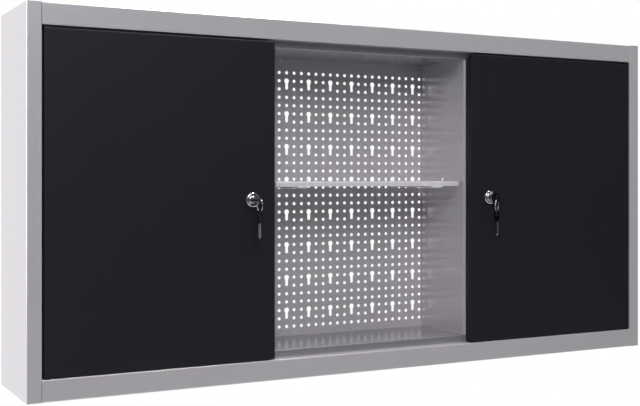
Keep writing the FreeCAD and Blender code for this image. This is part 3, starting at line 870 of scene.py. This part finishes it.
@dataclass
class ShelfHook:
    """Wire hook through a keyhole, with its tip turned up before the shelf and leaning out.

    Attributes:
        paintbox: The cabinet's materials.
        side: Which hook of the two.
        wire: Wire diameter.
        reach: From the panel's face to the foot of the tip.
        tip_rise: Rise of the tip above the wire's middle line.
        tip_lean: Lean of the tip in degrees.
        bend: Radius of the wire's middle line in a bend.
        tip_round: Rounding of the tip's end.
        tip_steps: Steps of that rounding.
        sides: Edges round the wire.
        bend_steps: Steps of each bend.
    """

    paintbox: Paintbox
    side: Side
    wire: float = 3.2 * MM
    reach: float = 174.0 * MM
    tip_rise: float = 16.0 * MM
    tip_lean: float = 12.0
    bend: float = 3.0 * MM
    tip_round: float = 0.9 * MM
    tip_steps: int = 3
    sides: int = 14
    bend_steps: int = 8

    def build(self) -> None:
        """Build the hook in place of its CAD node."""
        node = f"{self.side.word}_shelf_hook"
        low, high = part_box(node)
        radius = self.wire / 2.0
        panel_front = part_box("perforated_back_panel")[0].y
        foot = Vector(((low.x + high.x) / 2.0, panel_front - self.reach, low.z + radius))
        tail = Vector((foot.x, high.y - radius, foot.z))
        lean = math.radians(self.tip_lean)
        down = Vector((0.0, math.sin(lean), -math.cos(lean)))
        bm = bmesh.new()
        loop = self.tip(bm, foot - down * (self.tip_rise / math.cos(lean)), lean)
        front = self.corner(lean)
        loop = self.straight(bm, loop, down * (self.tip_rise / math.cos(lean) - front - self.tip_round))
        loop = self.turned(bm, loop, foot + Vector((0.0, front, self.bend)), math.pi / 2.0 - lean)
        loop = self.straight(bm, loop, Y_AXIS * (tail.y - foot.y - front - self.bend))
        loop = self.turned(bm, loop, tail + Vector((0.0, -self.bend, self.bend)), math.pi / 2.0)
        loop = self.straight(bm, loop, Z_AXIS * (high.z - foot.z - self.bend))
        bmesh.ops.contextual_create(bm, geom=loop)
        self.paintbox.piece(f"{self.side.word}_wire_hook", bm, "zinc_wire", "cabinet", node)

    def corner(self, lean: float) -> float:
        """Find the length that the leaning bend takes from each of its two runs.

        Args:
            lean: Lean of the tip in radians.

        Returns:
            The length.
        """
        return self.bend * math.tan((math.pi / 2.0 - lean) / 2.0)

    def tip(self, bm: BMesh, place: Vector, lean: float) -> list[BMEdge]:
        """Start the wire at its rounded tip.

        Args:
            bm: The hook's mesh.
            place: Middle of the tip's end.
            lean: Lean of the tip in radians.

        Returns:
            The open end's edges.
        """
        small = self.wire / 2.0 - self.tip_round
        set_down = Matrix.Translation(place) @ Matrix.Rotation(lean, 4, "X")
        flat = set_down.inverted()
        made = bmesh.ops.create_circle(
            bm, cap_ends=True, segments=self.sides, radius=small, matrix=set_down
        )
        loop = loop_edges(made["verts"])
        for step in range(1, self.tip_steps + 1):
            turn = math.radians(90.0 * step / self.tip_steps)
            ring = small + self.tip_round * math.sin(turn)
            drop = self.tip_round * (1.0 - math.cos(turn))
            verts = drawn(bm, loop)
            for vert in verts:
                local = flat @ vert.co
                local = Vector((local.x, local.y, 0.0)).normalized() * ring - Z_AXIS * drop
                vert.co = set_down @ local
            loop = loop_edges(verts)
        return loop

    def straight(self, bm: BMesh, loop: list[BMEdge], run: Vector) -> list[BMEdge]:
        """Carry the wire straight on.

        Args:
            bm: The hook's mesh.
            loop: The open end's edges.
            run: Way and length of the run.

        Returns:
            The new open end's edges.
        """
        verts = drawn(bm, loop)
        bmesh.ops.translate(bm, verts=verts, vec=run)
        return loop_edges(verts)

    def turned(self, bm: BMesh, loop: list[BMEdge], centre: Vector, angle: float) -> list[BMEdge]:
        """Bend the wire about an X axis.

        Args:
            bm: The hook's mesh.
            loop: The open end's edges.
            centre: Centre of the bend.
            angle: Angle of the bend.

        Returns:
            The new open end's edges.
        """
        return swept(bm, loop, centre, X_AXIS, angle, self.bend_steps)


@dataclass
class CamLock:
    """Cam lock of one door: chrome bezel, threaded body, nut, plug, cam and screw.

    Attributes:
        paintbox: The cabinet's materials.
        side: Which door.
        stand: How the key stands, which turns the keyway.
        bezel_rim: Radius of the rounding of the bezel's rim.
        rim_arc: Angle of that rounding in degrees, from the dish to the outside.
        rim_steps: Steps of that rounding.
        dish_depth: Depth of the dish between the rim and the plug.
        dish_lip: Flat ring at the foot of the dish.
        thread_radius: Radius of the thread's crests.
        thread_pitch: Distance between thread crests.
        thread_depth: Depth of the thread.
        nut_play: Clearance of the nut on the thread.
        nut_ease: Bevel of the nut's edges.
        plug_radius: Radius of the turning plug.
        plug_play: Clearance of the plug in its bore.
        plug_chamfer: Chamfer on the plug's face.
        tail_radius: Radius of the plug's tail, which carries the cam.
        tail_length: Length of that tail.
        keyway_depth: Depth of the keyway that shows.
        keyway_half: Half the keyway's width and half its height, for a key that lies flat.
        end_play: Clearance between the body's end and the cam.
        cam_round: Rounding of the cam's corners.
        cam_steps: Steps of that rounding.
        cam_ease: Bevel of the cam's edges.
        screw_head: Height of the screw's head.
        screw_ease: Bevel of the screw's edges.
        steps: Steps of each full turn.
        centre: The lock's axis, at Y = 0.
        front: Y of the bezel's front.
        back: Y of the body's end.
        skin: Y of the door's front face.
        bezel_radius: Radius of the bezel.
    """

    paintbox: Paintbox
    side: Side
    stand: KeyStand
    bezel_rim: float = 2.4 * MM
    rim_arc: float = 135.0
    rim_steps: int = 12
    dish_depth: float = 1.2 * MM
    dish_lip: float = 0.4 * MM
    thread_radius: float = 9.0 * MM
    thread_pitch: float = 1.25 * MM
    thread_depth: float = 0.55 * MM
    nut_play: float = 0.05 * MM
    nut_ease: float = 0.5 * MM
    plug_radius: float = 6.0 * MM
    plug_play: float = 0.06 * MM
    plug_chamfer: float = 0.4 * MM
    tail_radius: float = 3.4 * MM
    tail_length: float = 2.0 * MM
    keyway_depth: float = 6.0 * MM
    keyway_half: tuple[float, float] = (3.65 * MM, 1.15 * MM)
    end_play: float = 0.03 * MM
    cam_round: float = 3.5 * MM
    cam_steps: int = 6
    cam_ease: float = 0.25 * MM
    screw_head: float = 2.5 * MM
    screw_ease: float = 0.35 * MM
    steps: int = 48
    centre: Vector = field(init=False)
    front: float = field(init=False)
    back: float = field(init=False)
    skin: float = field(init=False)
    bezel_radius: float = field(init=False)

    def __post_init__(self) -> None:
        """Take the lock's place from its CAD nodes."""
        low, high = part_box(f"{self.side.word}_lock_barrel")
        self.centre = Vector(((low.x + high.x) / 2.0, 0.0, (low.z + high.z) / 2.0))
        self.front = low.y
        self.back = high.y
        self.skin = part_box(f"{self.side.word}_door_panel")[0].y
        self.bezel_radius = (high.x - low.x) / 2.0

    def build(self) -> None:
        """Build each piece of the lock in place of its CAD node."""
        self.barrel()
        self.nut()
        self.plug()
        self.cam()
        self.screw()

    def handed_on(self, name: str, bm: BMesh, slot: str, body: str, node: str) -> None:
        """Move a mesh from the Y axis to the lock's axis and make it a piece.

        Args:
            name: Piece name without its side.
            bm: The mesh about the Y axis.
            slot: The record's material slot.
            body: The body's name without its side.
            node: The node's name without its side.
        """
        word = self.side.word
        bmesh.ops.translate(bm, verts=bm.verts[:], vec=self.centre)
        self.paintbox.piece(f"{word}_{name}", bm, slot, f"{word}_{body}", f"{word}_{node}")

    def barrel(self) -> None:
        """Build the bezel and the threaded body."""
        rim = self.bezel_rim
        bore = self.plug_radius + self.plug_play
        root = self.thread_radius - self.thread_depth
        dish = self.front + self.dish_depth
        end = self.back - self.end_play
        profile = [(bore, end), (bore, dish), (bore + self.dish_lip, dish)]
        for step in range(self.rim_steps + 1):
            turn = math.radians(self.rim_arc * (1.0 - step / self.rim_steps))
            radius = self.bezel_radius - rim + rim * math.cos(turn)
            profile.append((radius, self.front + rim - rim * math.sin(turn)))
        profile.append((self.bezel_radius, self.skin))
        profile.append((self.thread_radius, self.skin))
        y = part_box(f"{self.side.word}_lock_nut")[0].y
        while y < self.back - self.thread_pitch:
            profile.append((self.thread_radius, y))
            profile.append((root, y + self.thread_pitch / 2.0))
            y += self.thread_pitch
        profile.append((root, end))
        self.handed_on("lock_bezel", spun(profile, self.steps), "lock_chrome", "door", "lock_barrel")

    def nut(self) -> None:
        """Build the hexagon nut behind the door skin."""
        low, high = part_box(f"{self.side.word}_lock_nut")
        bm = bmesh.new()
        outer = loop_facing_front(bm, hexagon_radius(low, high), 6)
        hexagon_turned(bm, low, high)
        bmesh.ops.subdivide_edges(bm, edges=loop_edges(outer), cuts=3)
        edges = loop_edges(bm.verts[:])
        inner = loop_facing_front(bm, self.thread_radius + self.nut_play, self.steps // 2)
        bmesh.ops.bridge_loops(bm, edges=edges + loop_edges(inner))
        thickened(bm, Y_AXIS * (high.y - low.y))
        softened(bm, self.nut_ease, segments=2, angle=50.0)
        bmesh.ops.translate(bm, verts=bm.verts[:], vec=(0.0, low.y, 0.0))
        self.handed_on("ring_nut", bm, "zinc_steel", "door", "lock_nut")

    def plug(self) -> None:
        """Build the turning plug with its keyway."""
        low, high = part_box(f"{self.side.word}_lock_plug")
        half_x, half_z = self.keyway_half
        if self.stand is KeyStand.UPRIGHT:
            half_x, half_z = half_z, half_x
        bm = bmesh.new()
        slot = loop_facing_front(bm, 1.0 * MM, self.steps)
        for vert in slot:
            squared(vert, half_x, half_z)
        bmesh.ops.translate(bm, verts=slot, vec=(0.0, low.y + self.keyway_depth, 0.0))
        loop = loop_edges(slot)
        bmesh.ops.contextual_create(bm, geom=loop)
        shoulder = high.y - self.tail_length
        for radius, y in (
            (None, low.y),
            (self.plug_radius - self.plug_chamfer, low.y),
            (self.plug_radius, low.y + self.plug_chamfer),
            (self.plug_radius, shoulder),
            (self.tail_radius, shoulder),
            (self.tail_radius, high.y),
        ):
            loop = self.ring_out(bm, loop, radius, y)
        bmesh.ops.contextual_create(bm, geom=loop)
        self.handed_on("key_plug", bm, "lock_chrome", "lock", "lock_plug")

    def ring_out(self, bm: BMesh, loop: list[BMEdge], radius: float | None, y: float) -> list[BMEdge]:
        """Extrude a loop to a new radius and place along Y.

        Args:
            bm: The plug's mesh.
            loop: The open loop's edges.
            radius: The new radius, or None to keep the loop's shape.
            y: The new Y.

        Returns:
            The new open loop's edges.
        """
        verts = drawn(bm, loop)
        for vert in verts:
            vert.co.y = y
            if radius is not None:
                flat = Vector((vert.co.x, 0.0, vert.co.z)).normalized() * radius
                vert.co.x = flat.x
                vert.co.z = flat.z
        return loop_edges(verts)

    def cam(self) -> None:
        """Build the cam plate with eased edges."""
        word = self.side.word
        node = f"{word}_lock_cam"
        low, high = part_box(node)
        bm = bmesh.new()
        bmesh.ops.create_cube(bm, size=1.0)
        bmesh.ops.scale(bm, verts=bm.verts[:], vec=high - low)
        bmesh.ops.translate(bm, verts=bm.verts[:], vec=(low + high) / 2.0)
        along = []
        for edge in bm.edges:
            first, last = edge.verts
            if abs((first.co - last.co).normalized().y) > MOSTLY:
                along.append(edge)
        rounded(bm, along, self.cam_round, self.cam_steps)
        softened(bm, self.cam_ease, segments=2, angle=50.0)
        self.paintbox.piece(f"{word}_cam_plate", bm, "zinc_steel", f"{word}_lock", node)

    def screw(self) -> None:
        """Build the hexagon screw on the back of the cam."""
        low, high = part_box(f"{self.side.word}_cam_screw")
        radius = hexagon_radius(low, high)
        bm = bmesh.new()
        bmesh.ops.create_cone(
            bm,
            cap_ends=True,
            segments=6,
            radius1=radius,
            radius2=radius,
            depth=self.screw_head,
            matrix=Matrix.Rotation(math.radians(90.0), 4, "X"),
        )
        hexagon_turned(bm, low, high)
        softened(bm, self.screw_ease, segments=2, angle=40.0)
        bmesh.ops.translate(bm, verts=bm.verts[:], vec=(0.0, high.y - self.screw_head / 2.0, 0.0))
        self.handed_on("cam_bolt", bm, "zinc_steel", "lock", "cam_screw")


@dataclass
class KeySet:
    """Key in the lock, with its split ring and spare key.

    Attributes:
        paintbox: The cabinet's materials.
        side: Which door.
        stand: How the key stands in the lock.
        blade_length: Length of a blade.
        blade_width: Width of a blade.
        blade_sheet: Thickness of a blade.
        blade_ease: Width of the eased border of a blade's flat sides.
        inserted: Length of the blade in the lock.
        notches: Notches cut in a blade.
        bow_length: Length of a bow.
        bow_width: Width of a bow.
        bow_sheet: Thickness of a bow.
        bow_power: Squareness of a bow's outline.
        bow_ease: Rounding of a bow's edges.
        neck_width: Width of a bow at the blade.
        neck_share: Share of the bow over which it widens.
        hole_width: Width of the ring hole.
        hole_length: Length of the ring hole.
        hole_margin: Plastic above the ring hole.
        hole_power: Squareness of the ring hole.
        oval_sides: Edges round a bow and round its hole.
        ring_radius: Radius of the ring's middle line.
        ring_wire: Width of the ring's two turns together.
        ring_width_share: Width of the flat wire, as a share of ring_wire.
        ring_thick_share: Thickness of the flat wire, as a share of ring_wire.
        ring_ease_share: Rounding of the flat wire, as a share of its thickness.
        ring_steps: Steps of each turn of the ring.
        crossing: Angle in degrees over which the ring steps from one turn to the next.
        crossing_steps: Steps of that crossing.
        ring_turns: Turn of the ring's plane in degrees from facing the front, by the key's stand.
        spare_twist: Twist of the spare key from the ring's plane, in degrees.
        ring_middle: Middle of the ring.
    """

    paintbox: Paintbox
    side: Side
    stand: KeyStand
    blade_length: float = 25.0 * MM
    blade_width: float = 7.0 * MM
    blade_sheet: float = 2.0 * MM
    blade_ease: float = 0.35 * MM
    inserted: float = 22.0 * MM
    notches: int = 4
    bow_length: float = 23.0 * MM
    bow_width: float = 20.0 * MM
    bow_sheet: float = 2.6 * MM
    bow_power: float = 2.9
    bow_ease: float = 0.6 * MM
    neck_width: float = 9.0 * MM
    neck_share: float = 0.3
    hole_width: float = 11.0 * MM
    hole_length: float = 9.4 * MM
    hole_margin: float = 3.0 * MM
    hole_power: float = 2.6
    oval_sides: int = 40
    ring_radius: float = 10.8 * MM
    ring_wire: float = 1.6 * MM
    ring_width_share: float = 0.84
    ring_thick_share: float = 0.47
    ring_ease_share: float = 0.28
    ring_steps: int = 44
    crossing: float = 40.0
    crossing_steps: int = 6
    ring_turns: dict[KeyStand, float] = field(
        default_factory=lambda: {KeyStand.UPRIGHT: 40.0, KeyStand.FLAT: 90.0}
    )
    spare_twist: float = -45.0
    ring_middle: Vector = field(init=False)

    def __post_init__(self) -> None:
        """Take the ring's place from its CAD node."""
        low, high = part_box(f"{self.side.word}_key_ring")
        self.ring_middle = (low + high) / 2.0

    def build(self) -> None:
        """Build each piece of the key set in place of its CAD node."""
        word = self.side.word
        for name, body, place in (("key", "lock", self.in_lock()), ("spare_key", "keys", self.on_ring())):
            for part, slot in (("blade", "key_nickel"), ("bow", "key_plastic")):
                shape = self.blade() if part == "blade" else self.bow()
                node = f"{word}_{name}_{part}"
                bmesh.ops.transform(shape, matrix=place, verts=shape.verts[:])
                self.paintbox.piece(f"{node}_cut", shape, slot, f"{word}_{body}", node)
        self.split_ring()

    def turned(self, degrees: float) -> Matrix:
        """Turn about Z, mirrored for the left side.

        Args:
            degrees: Angle on the right side.

        Returns:
            The turn.
        """
        return Matrix.Rotation(math.radians(degrees * self.side.value), 4, "Z")

    def in_lock(self) -> Matrix:
        """Place of the key in the lock, from a key that stands on its tip.

        Returns:
            The place.
        """
        low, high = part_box(f"{self.side.word}_lock_plug")
        middle = (low + high) / 2.0
        turn = Matrix.Rotation(math.radians(90.0), 4, "X")
        if self.stand is KeyStand.FLAT:
            turn = turn @ Matrix.Rotation(math.radians(90.0), 4, "Z")
        return Matrix.Translation((middle.x, low.y + self.inserted, middle.z)) @ turn

    def on_ring(self) -> Matrix:
        """Place of the spare key under its ring, from a key that stands on its tip.

        Returns:
            The place.
        """
        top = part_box(f"{self.side.word}_spare_key_bow")[1].z
        foot = top - self.blade_length - self.bow_length
        turn = self.turned(self.ring_turns[self.stand] + self.spare_twist)
        return Matrix.Translation((self.ring_middle.x, self.ring_middle.y, foot)) @ turn

    def blade(self) -> BMesh:
        """Make a notched blade with eased sides, standing on its tip, flat side to X.

        Returns:
            The blade's mesh.
        """
        half = self.blade_width / 2.0
        pitch = (self.inserted - half) / (self.notches + 1.0)
        points = [(-half, half), (0.0, 0.0), (half, half)]
        for index in range(self.notches):
            z = half + pitch * (index + 0.5)
            points += [(half, z), (half - pitch / 3.0, z + pitch / 3.0), (half, z + pitch * 2.0 / 3.0)]
        points += [(half, self.blade_length), (-half, self.blade_length)]
        bm = bmesh.new()
        bm.faces.new([bm.verts.new((-self.blade_sheet / 2.0, y, z)) for y, z in points])
        thickened(bm, X_AXIS * self.blade_sheet)
        flats = [face for face in bm.faces if abs(face.normal.x) > MOSTLY]
        bmesh.ops.inset_individual(bm, faces=flats, thickness=self.blade_ease, depth=0.0)
        return bm

    def bow(self) -> BMesh:
        """Make a rounded plastic bow with its ring hole, above a blade that stands on its tip.

        Returns:
            The bow's mesh.
        """
        half = self.bow_width / 2.0
        tall = self.bow_length / 2.0
        neck = self.neck_width / 2.0
        bm = bmesh.new()
        outer = self.oval(bm, half, tall, self.bow_power)
        for vert in outer:
            low = min(1.0, (vert.co.z + tall) / (self.bow_length * self.neck_share))
            widest = neck + (half - neck) * low
            vert.co.y = max(-widest, min(widest, vert.co.y))
        inner = self.oval(bm, self.hole_width / 2.0, self.hole_length / 2.0, self.hole_power)
        lift = tall - self.hole_margin - self.hole_length / 2.0
        bmesh.ops.translate(bm, verts=inner, vec=(0.0, 0.0, lift))
        bmesh.ops.bridge_loops(bm, edges=loop_edges(outer) + loop_edges(inner))
        back = (-self.bow_sheet / 2.0, 0.0, self.blade_length + tall)
        bmesh.ops.translate(bm, verts=bm.verts[:], vec=back)
        thickened(bm, X_AXIS * self.bow_sheet)
        softened(bm, self.bow_ease, segments=3, angle=60.0)
        return bm

    def oval(self, bm: BMesh, half_y: float, half_z: float, power: float) -> list[BMVert]:
        """Add a squarish oval in the YZ plane.

        Args:
            bm: The mesh that gets the oval.
            half_y: Half its width.
            half_z: Half its height.
            power: 2 for an ellipse, more for squarer corners.

        Returns:
            The oval's vertices.
        """
        sideways = Matrix.Rotation(math.radians(90.0), 4, "Y")
        verts = bmesh.ops.create_circle(
            bm, cap_ends=False, segments=self.oval_sides, radius=1.0, matrix=sideways
        )["verts"]
        for vert in verts:
            y = math.copysign(abs(vert.co.y) ** (2.0 / power), vert.co.y)
            z = math.copysign(abs(vert.co.z) ** (2.0 / power), vert.co.z)
            vert.co = Vector((0.0, y * half_y, z * half_z))
        return verts

    def split_ring(self) -> None:
        """Build the split ring: two turns of flat wire, side by side, with one crossing."""
        thick = self.ring_wire * self.ring_thick_share
        bm = bmesh.new()
        made = bmesh.ops.create_grid(bm, x_segments=1, y_segments=1, size=0.5)
        bmesh.ops.scale(bm, verts=made["verts"], vec=(self.ring_wire * self.ring_width_share, thick, 1.0))
        rounded(bm, bm.verts[:], thick * self.ring_ease_share, segments=2, affect="VERTICES")
        bmesh.ops.translate(bm, verts=bm.verts[:], vec=(self.ring_radius, -self.ring_wire / 4.0, 0.0))
        loop = loop_edges(bm.verts[:])
        crossing = math.radians(self.crossing)
        whole = 2.0 * math.pi - crossing
        loop = swept(bm, loop, ORIGIN, Y_AXIS, whole, self.ring_steps)
        loop = swept(bm, loop, ORIGIN, Y_AXIS, crossing, self.crossing_steps, rise=self.ring_wire / 2.0)
        loop = swept(bm, loop, ORIGIN, Y_AXIS, whole, self.ring_steps)
        bmesh.ops.contextual_create(bm, geom=loop)
        place = Matrix.Translation(self.ring_middle) @ self.turned(self.ring_turns[self.stand])
        bmesh.ops.transform(bm, matrix=place, verts=bm.verts[:])
        word = self.side.word
        self.paintbox.piece(f"{word}_split_ring", bm, "key_nickel", f"{word}_keys", f"{word}_key_ring")


@dataclass
class Door:
    """One door with its lock and keys.

    Attributes:
        paintbox: The cabinet's materials.
        side: Which door.
        stand: How its key stands.
    """

    paintbox: Paintbox
    side: Side
    stand: KeyStand

    def build(self) -> None:
        """Dress the door's CAD nodes and build its finer pieces."""
        word = self.side.word
        self.paintbox.dress_node(f"{word}_door_panel", "door_paint")
        self.paintbox.dress_node(f"{word}_door_stiffener", "door_paint")
        self.paintbox.dress_node(f"{word}_hinge_bushes", "bush_nylon")
        self.paintbox.dress_node(f"{word}_hinge_pins", "zinc_steel")
        CamLock(self.paintbox, self.side, self.stand).build()
        KeySet(self.paintbox, self.side, self.stand).build()


@dataclass
class CabinetBody:
    """Folded sheet body with its shelf.

    Attributes:
        paintbox: The cabinet's materials.
        painted: CAD nodes in the body's own paint.
        inner: CAD nodes of the inside plates, in a darker copy of the body paint that paints in the shade
            of the recessed bay.
    """

    paintbox: Paintbox
    painted: tuple[str, ...] = (
        "left_side_panel",
        "right_side_panel",
        "top_panel",
        "bottom_panel",
        "left_partition",
        "right_partition",
        "panel_angles",
    )
    inner: tuple[str, ...] = ("ceiling_plate", "floor_plate")

    def build(self) -> None:
        """Dress the body's CAD nodes, then build the sheet and the hooks."""
        for node in self.painted:
            self.paintbox.dress_node(node, "body_paint")
        # The inside plates take the darker copy of the silver coat, which paints in the bay's shade
        for node in self.inner:
            self.paintbox.dress_node(node, "inner_painted_shade")
        # The shelf takes the lighter copy of the silver coat, which paints in the highlight on its front
        self.paintbox.dress_node("shelf", "shelf_highlight_paint")
        PerforatedSheet(self.paintbox).build()
        for side in Side:
            ShelfHook(self.paintbox, side).build()


@dataclass(frozen=True)
class SoftBox:
    """A square area lamp aimed at the cabinet.

    Attributes:
        name: Lamp name.
        place: Where it stands.
        aim: What it points at.
        size: Side of the lamp.
        power: Power in watts.
    """

    name: str
    place: tuple[float, float, float]
    aim: tuple[float, float, float]
    size: float
    power: float

    def build(self) -> None:
        """Add the lamp."""
        data = bpy.data.lights.new(self.name, "AREA")
        data.size = self.size
        data.energy = self.power
        lamp = placed(self.name, data)
        lamp.location = self.place
        way = Vector(self.aim) - Vector(self.place)
        lamp.rotation_euler = way.to_track_quat("-Z", "Y").to_euler()


@dataclass
class Studio:
    """Camera, lamps, white surround and floor.

    Attributes:
        camera_place: Camera position.
        camera_turn: Turn of the view about Z, in degrees.
        sensor: Width of the sensor in millimetres.
        lens: Focal length in millimetres.
        shift: Camera shift across and up.
        ambient: Strength of the surround as light, from below and from above.
        ambient_band: Heights of the way's unit vector between which that light changes.
        room_gloss: Strength of the room before the cabinet, as metal shows it.
        gloss_band: Y of the way's unit vector from the room to the white behind the cabinet.
        floor_z: Height of the floor.
        floor_y: Middle of the floor along Y.
        floor_size: Side of the floor.
        floor_grey: Grey of the floor.
        floor_roughness: Roughness of the floor.
        floor_fade: Shares of the side between which the floor turns white to the eye.
        lamps: The soft boxes.
    """

    camera_place: tuple[float, float, float] = (-0.96694, -1.88950, 0.03808)
    camera_turn: float = -29.16
    sensor: float = 36.0
    lens: float = 63.05
    shift: tuple[float, float] = (-0.0764, -0.0411)
    ambient: tuple[float, float] = (0.06, 0.26)
    ambient_band: tuple[float, float] = (-0.3, 0.3)
    room_gloss: float = 0.12
    gloss_band: tuple[float, float] = (-0.25, 0.2)
    floor_z: float = -0.9
    floor_y: float = -0.1
    floor_size: float = 3.0
    floor_grey: float = 0.56
    floor_roughness: float = 0.8
    floor_fade: tuple[float, float] = (0.2, 0.48)
    lamps: tuple[SoftBox, ...] = (
        SoftBox("left_softbox", (-3.0, 0.75, 0.4), (-0.6, -0.05, 0.0), 1.7, 66.0),
        SoftBox("front_softbox", (-0.95, -3.2, 2.1), (0.0, -0.1, 0.0), 2.0, 92.0),
        SoftBox("top_softbox", (0.6, -0.35, 2.8), (0.2, -0.2, 0.0), 0.9, 92.0),
    )

    def build(self) -> None:
        """Set up the whole studio."""
        bpy.context.scene.view_settings.view_transform = "Standard"
        self.camera()
        self.surround()
        self.floor()
        for lamp in self.lamps:
            lamp.build()

    def camera(self) -> None:
        """Add the camera at the photograph's viewpoint."""
        data = bpy.data.cameras.new("view")
        data.sensor_width = self.sensor
        data.lens = self.lens
        data.shift_x, data.shift_y = self.shift
        camera = placed("view", data)
        camera.location = self.camera_place
        camera.rotation_euler = (math.radians(90.0), 0.0, math.radians(self.camera_turn))
        bpy.context.scene.camera = camera

    def surround(self) -> None:
        """Make the surround white to the eye and dimmer as light."""
        world = bpy.data.worlds.new("surround")
        world.use_nodes = True
        tree = world.node_tree
        back = tree.nodes["Background"]
        back.inputs["Color"].default_value = (1.0, 1.0, 1.0, 1.0)
        path = tree.nodes.new("ShaderNodeLightPath").outputs
        way = tree.nodes.new("ShaderNodeTexCoord").outputs["Generated"]
        parts = node_with(tree, "ShaderNodeSeparateXYZ", {"Vector": way}).outputs
        shown = spread(tree, parts["Y"], self.gloss_band, (self.room_gloss, 1.0))
        around = spread(tree, parts["Z"], self.ambient_band, self.ambient)
        mirrored = math_with(tree, "MAXIMUM", path["Is Glossy Ray"], path["Is Transmission Ray"])
        lit = spread(tree, mirrored, (0.0, 1.0), (around, shown))
        strength = spread(tree, path["Is Camera Ray"], (0.0, 1.0), (lit, 1.0))
        tree.links.new(strength, back.inputs["Strength"])
        bpy.context.scene.world = world

    def floor(self) -> None:
        """Add a pale floor that fades to the white surround at its rim."""
        middle = (0.0, self.floor_y, self.floor_z)
        bm = bmesh.new()
        bmesh.ops.create_grid(bm, x_segments=1, y_segments=1, size=self.floor_size / 2.0)
        bmesh.ops.translate(bm, verts=bm.verts[:], vec=middle)
        mesh = bpy.data.meshes.new("floor")
        bm.to_mesh(mesh)
        bm.free()
        mesh.materials.append(self.floor_material(middle))
        floor = placed("floor", mesh)

    def floor_material(self, middle: tuple[float, float, float]) -> Material:
        """Make the floor's material: a matt grey that the eye sees turn white towards the rim.

        Args:
            middle: Middle of the floor.

        Returns:
            The material.
        """
        pale = bpy.data.materials.new("pale_floor")
        pale.use_nodes = True
        tree = pale.node_tree
        shader = tree.nodes["Principled BSDF"]
        shader.inputs["Base Color"].default_value = (self.floor_grey, self.floor_grey, self.floor_grey, 1.0)
        shader.inputs["Roughness"].default_value = self.floor_roughness
        place = tree.nodes.new("ShaderNodeTexCoord").outputs["Object"]
        out = node_with(tree, "ShaderNodeVectorMath", {0: place, 1: middle}, "DISTANCE").outputs["Value"]
        start, end = (self.floor_size * share for share in self.floor_fade)
        fade = node_with(tree, "ShaderNodeMapRange", {"Value": out, "From Min": start, "From Max": end})
        fade.interpolation_type = "SMOOTHSTEP"
        path = tree.nodes.new("ShaderNodeLightPath").outputs
        seen = math_with(tree, "MAXIMUM", path["Is Camera Ray"], path["Is Transmission Ray"])
        share = math_with(tree, "MULTIPLY", fade.outputs["Result"], seen)
        white = tree.nodes.new("ShaderNodeEmission").outputs["Emission"]
        mixed = node_with(tree, "ShaderNodeMixShader", {"Fac": share, 1: shader.outputs["BSDF"], 2: white})
        tree.links.new(mixed.outputs["Shader"], tree.nodes["Material Output"].inputs["Surface"])
        return pale


def main() -> None:
    """Build the cabinet's classes in order, then its studio."""
    logging.basicConfig(level=logging.INFO, format="%(name)s: %(message)s")
    paintbox = Paintbox()
    CabinetBody(paintbox).build()
    Door(paintbox, Side.LEFT, KeyStand.FLAT).build()
    Door(paintbox, Side.RIGHT, KeyStand.UPRIGHT).build()
    Studio().build()


if __name__ == "__main__":
    main()
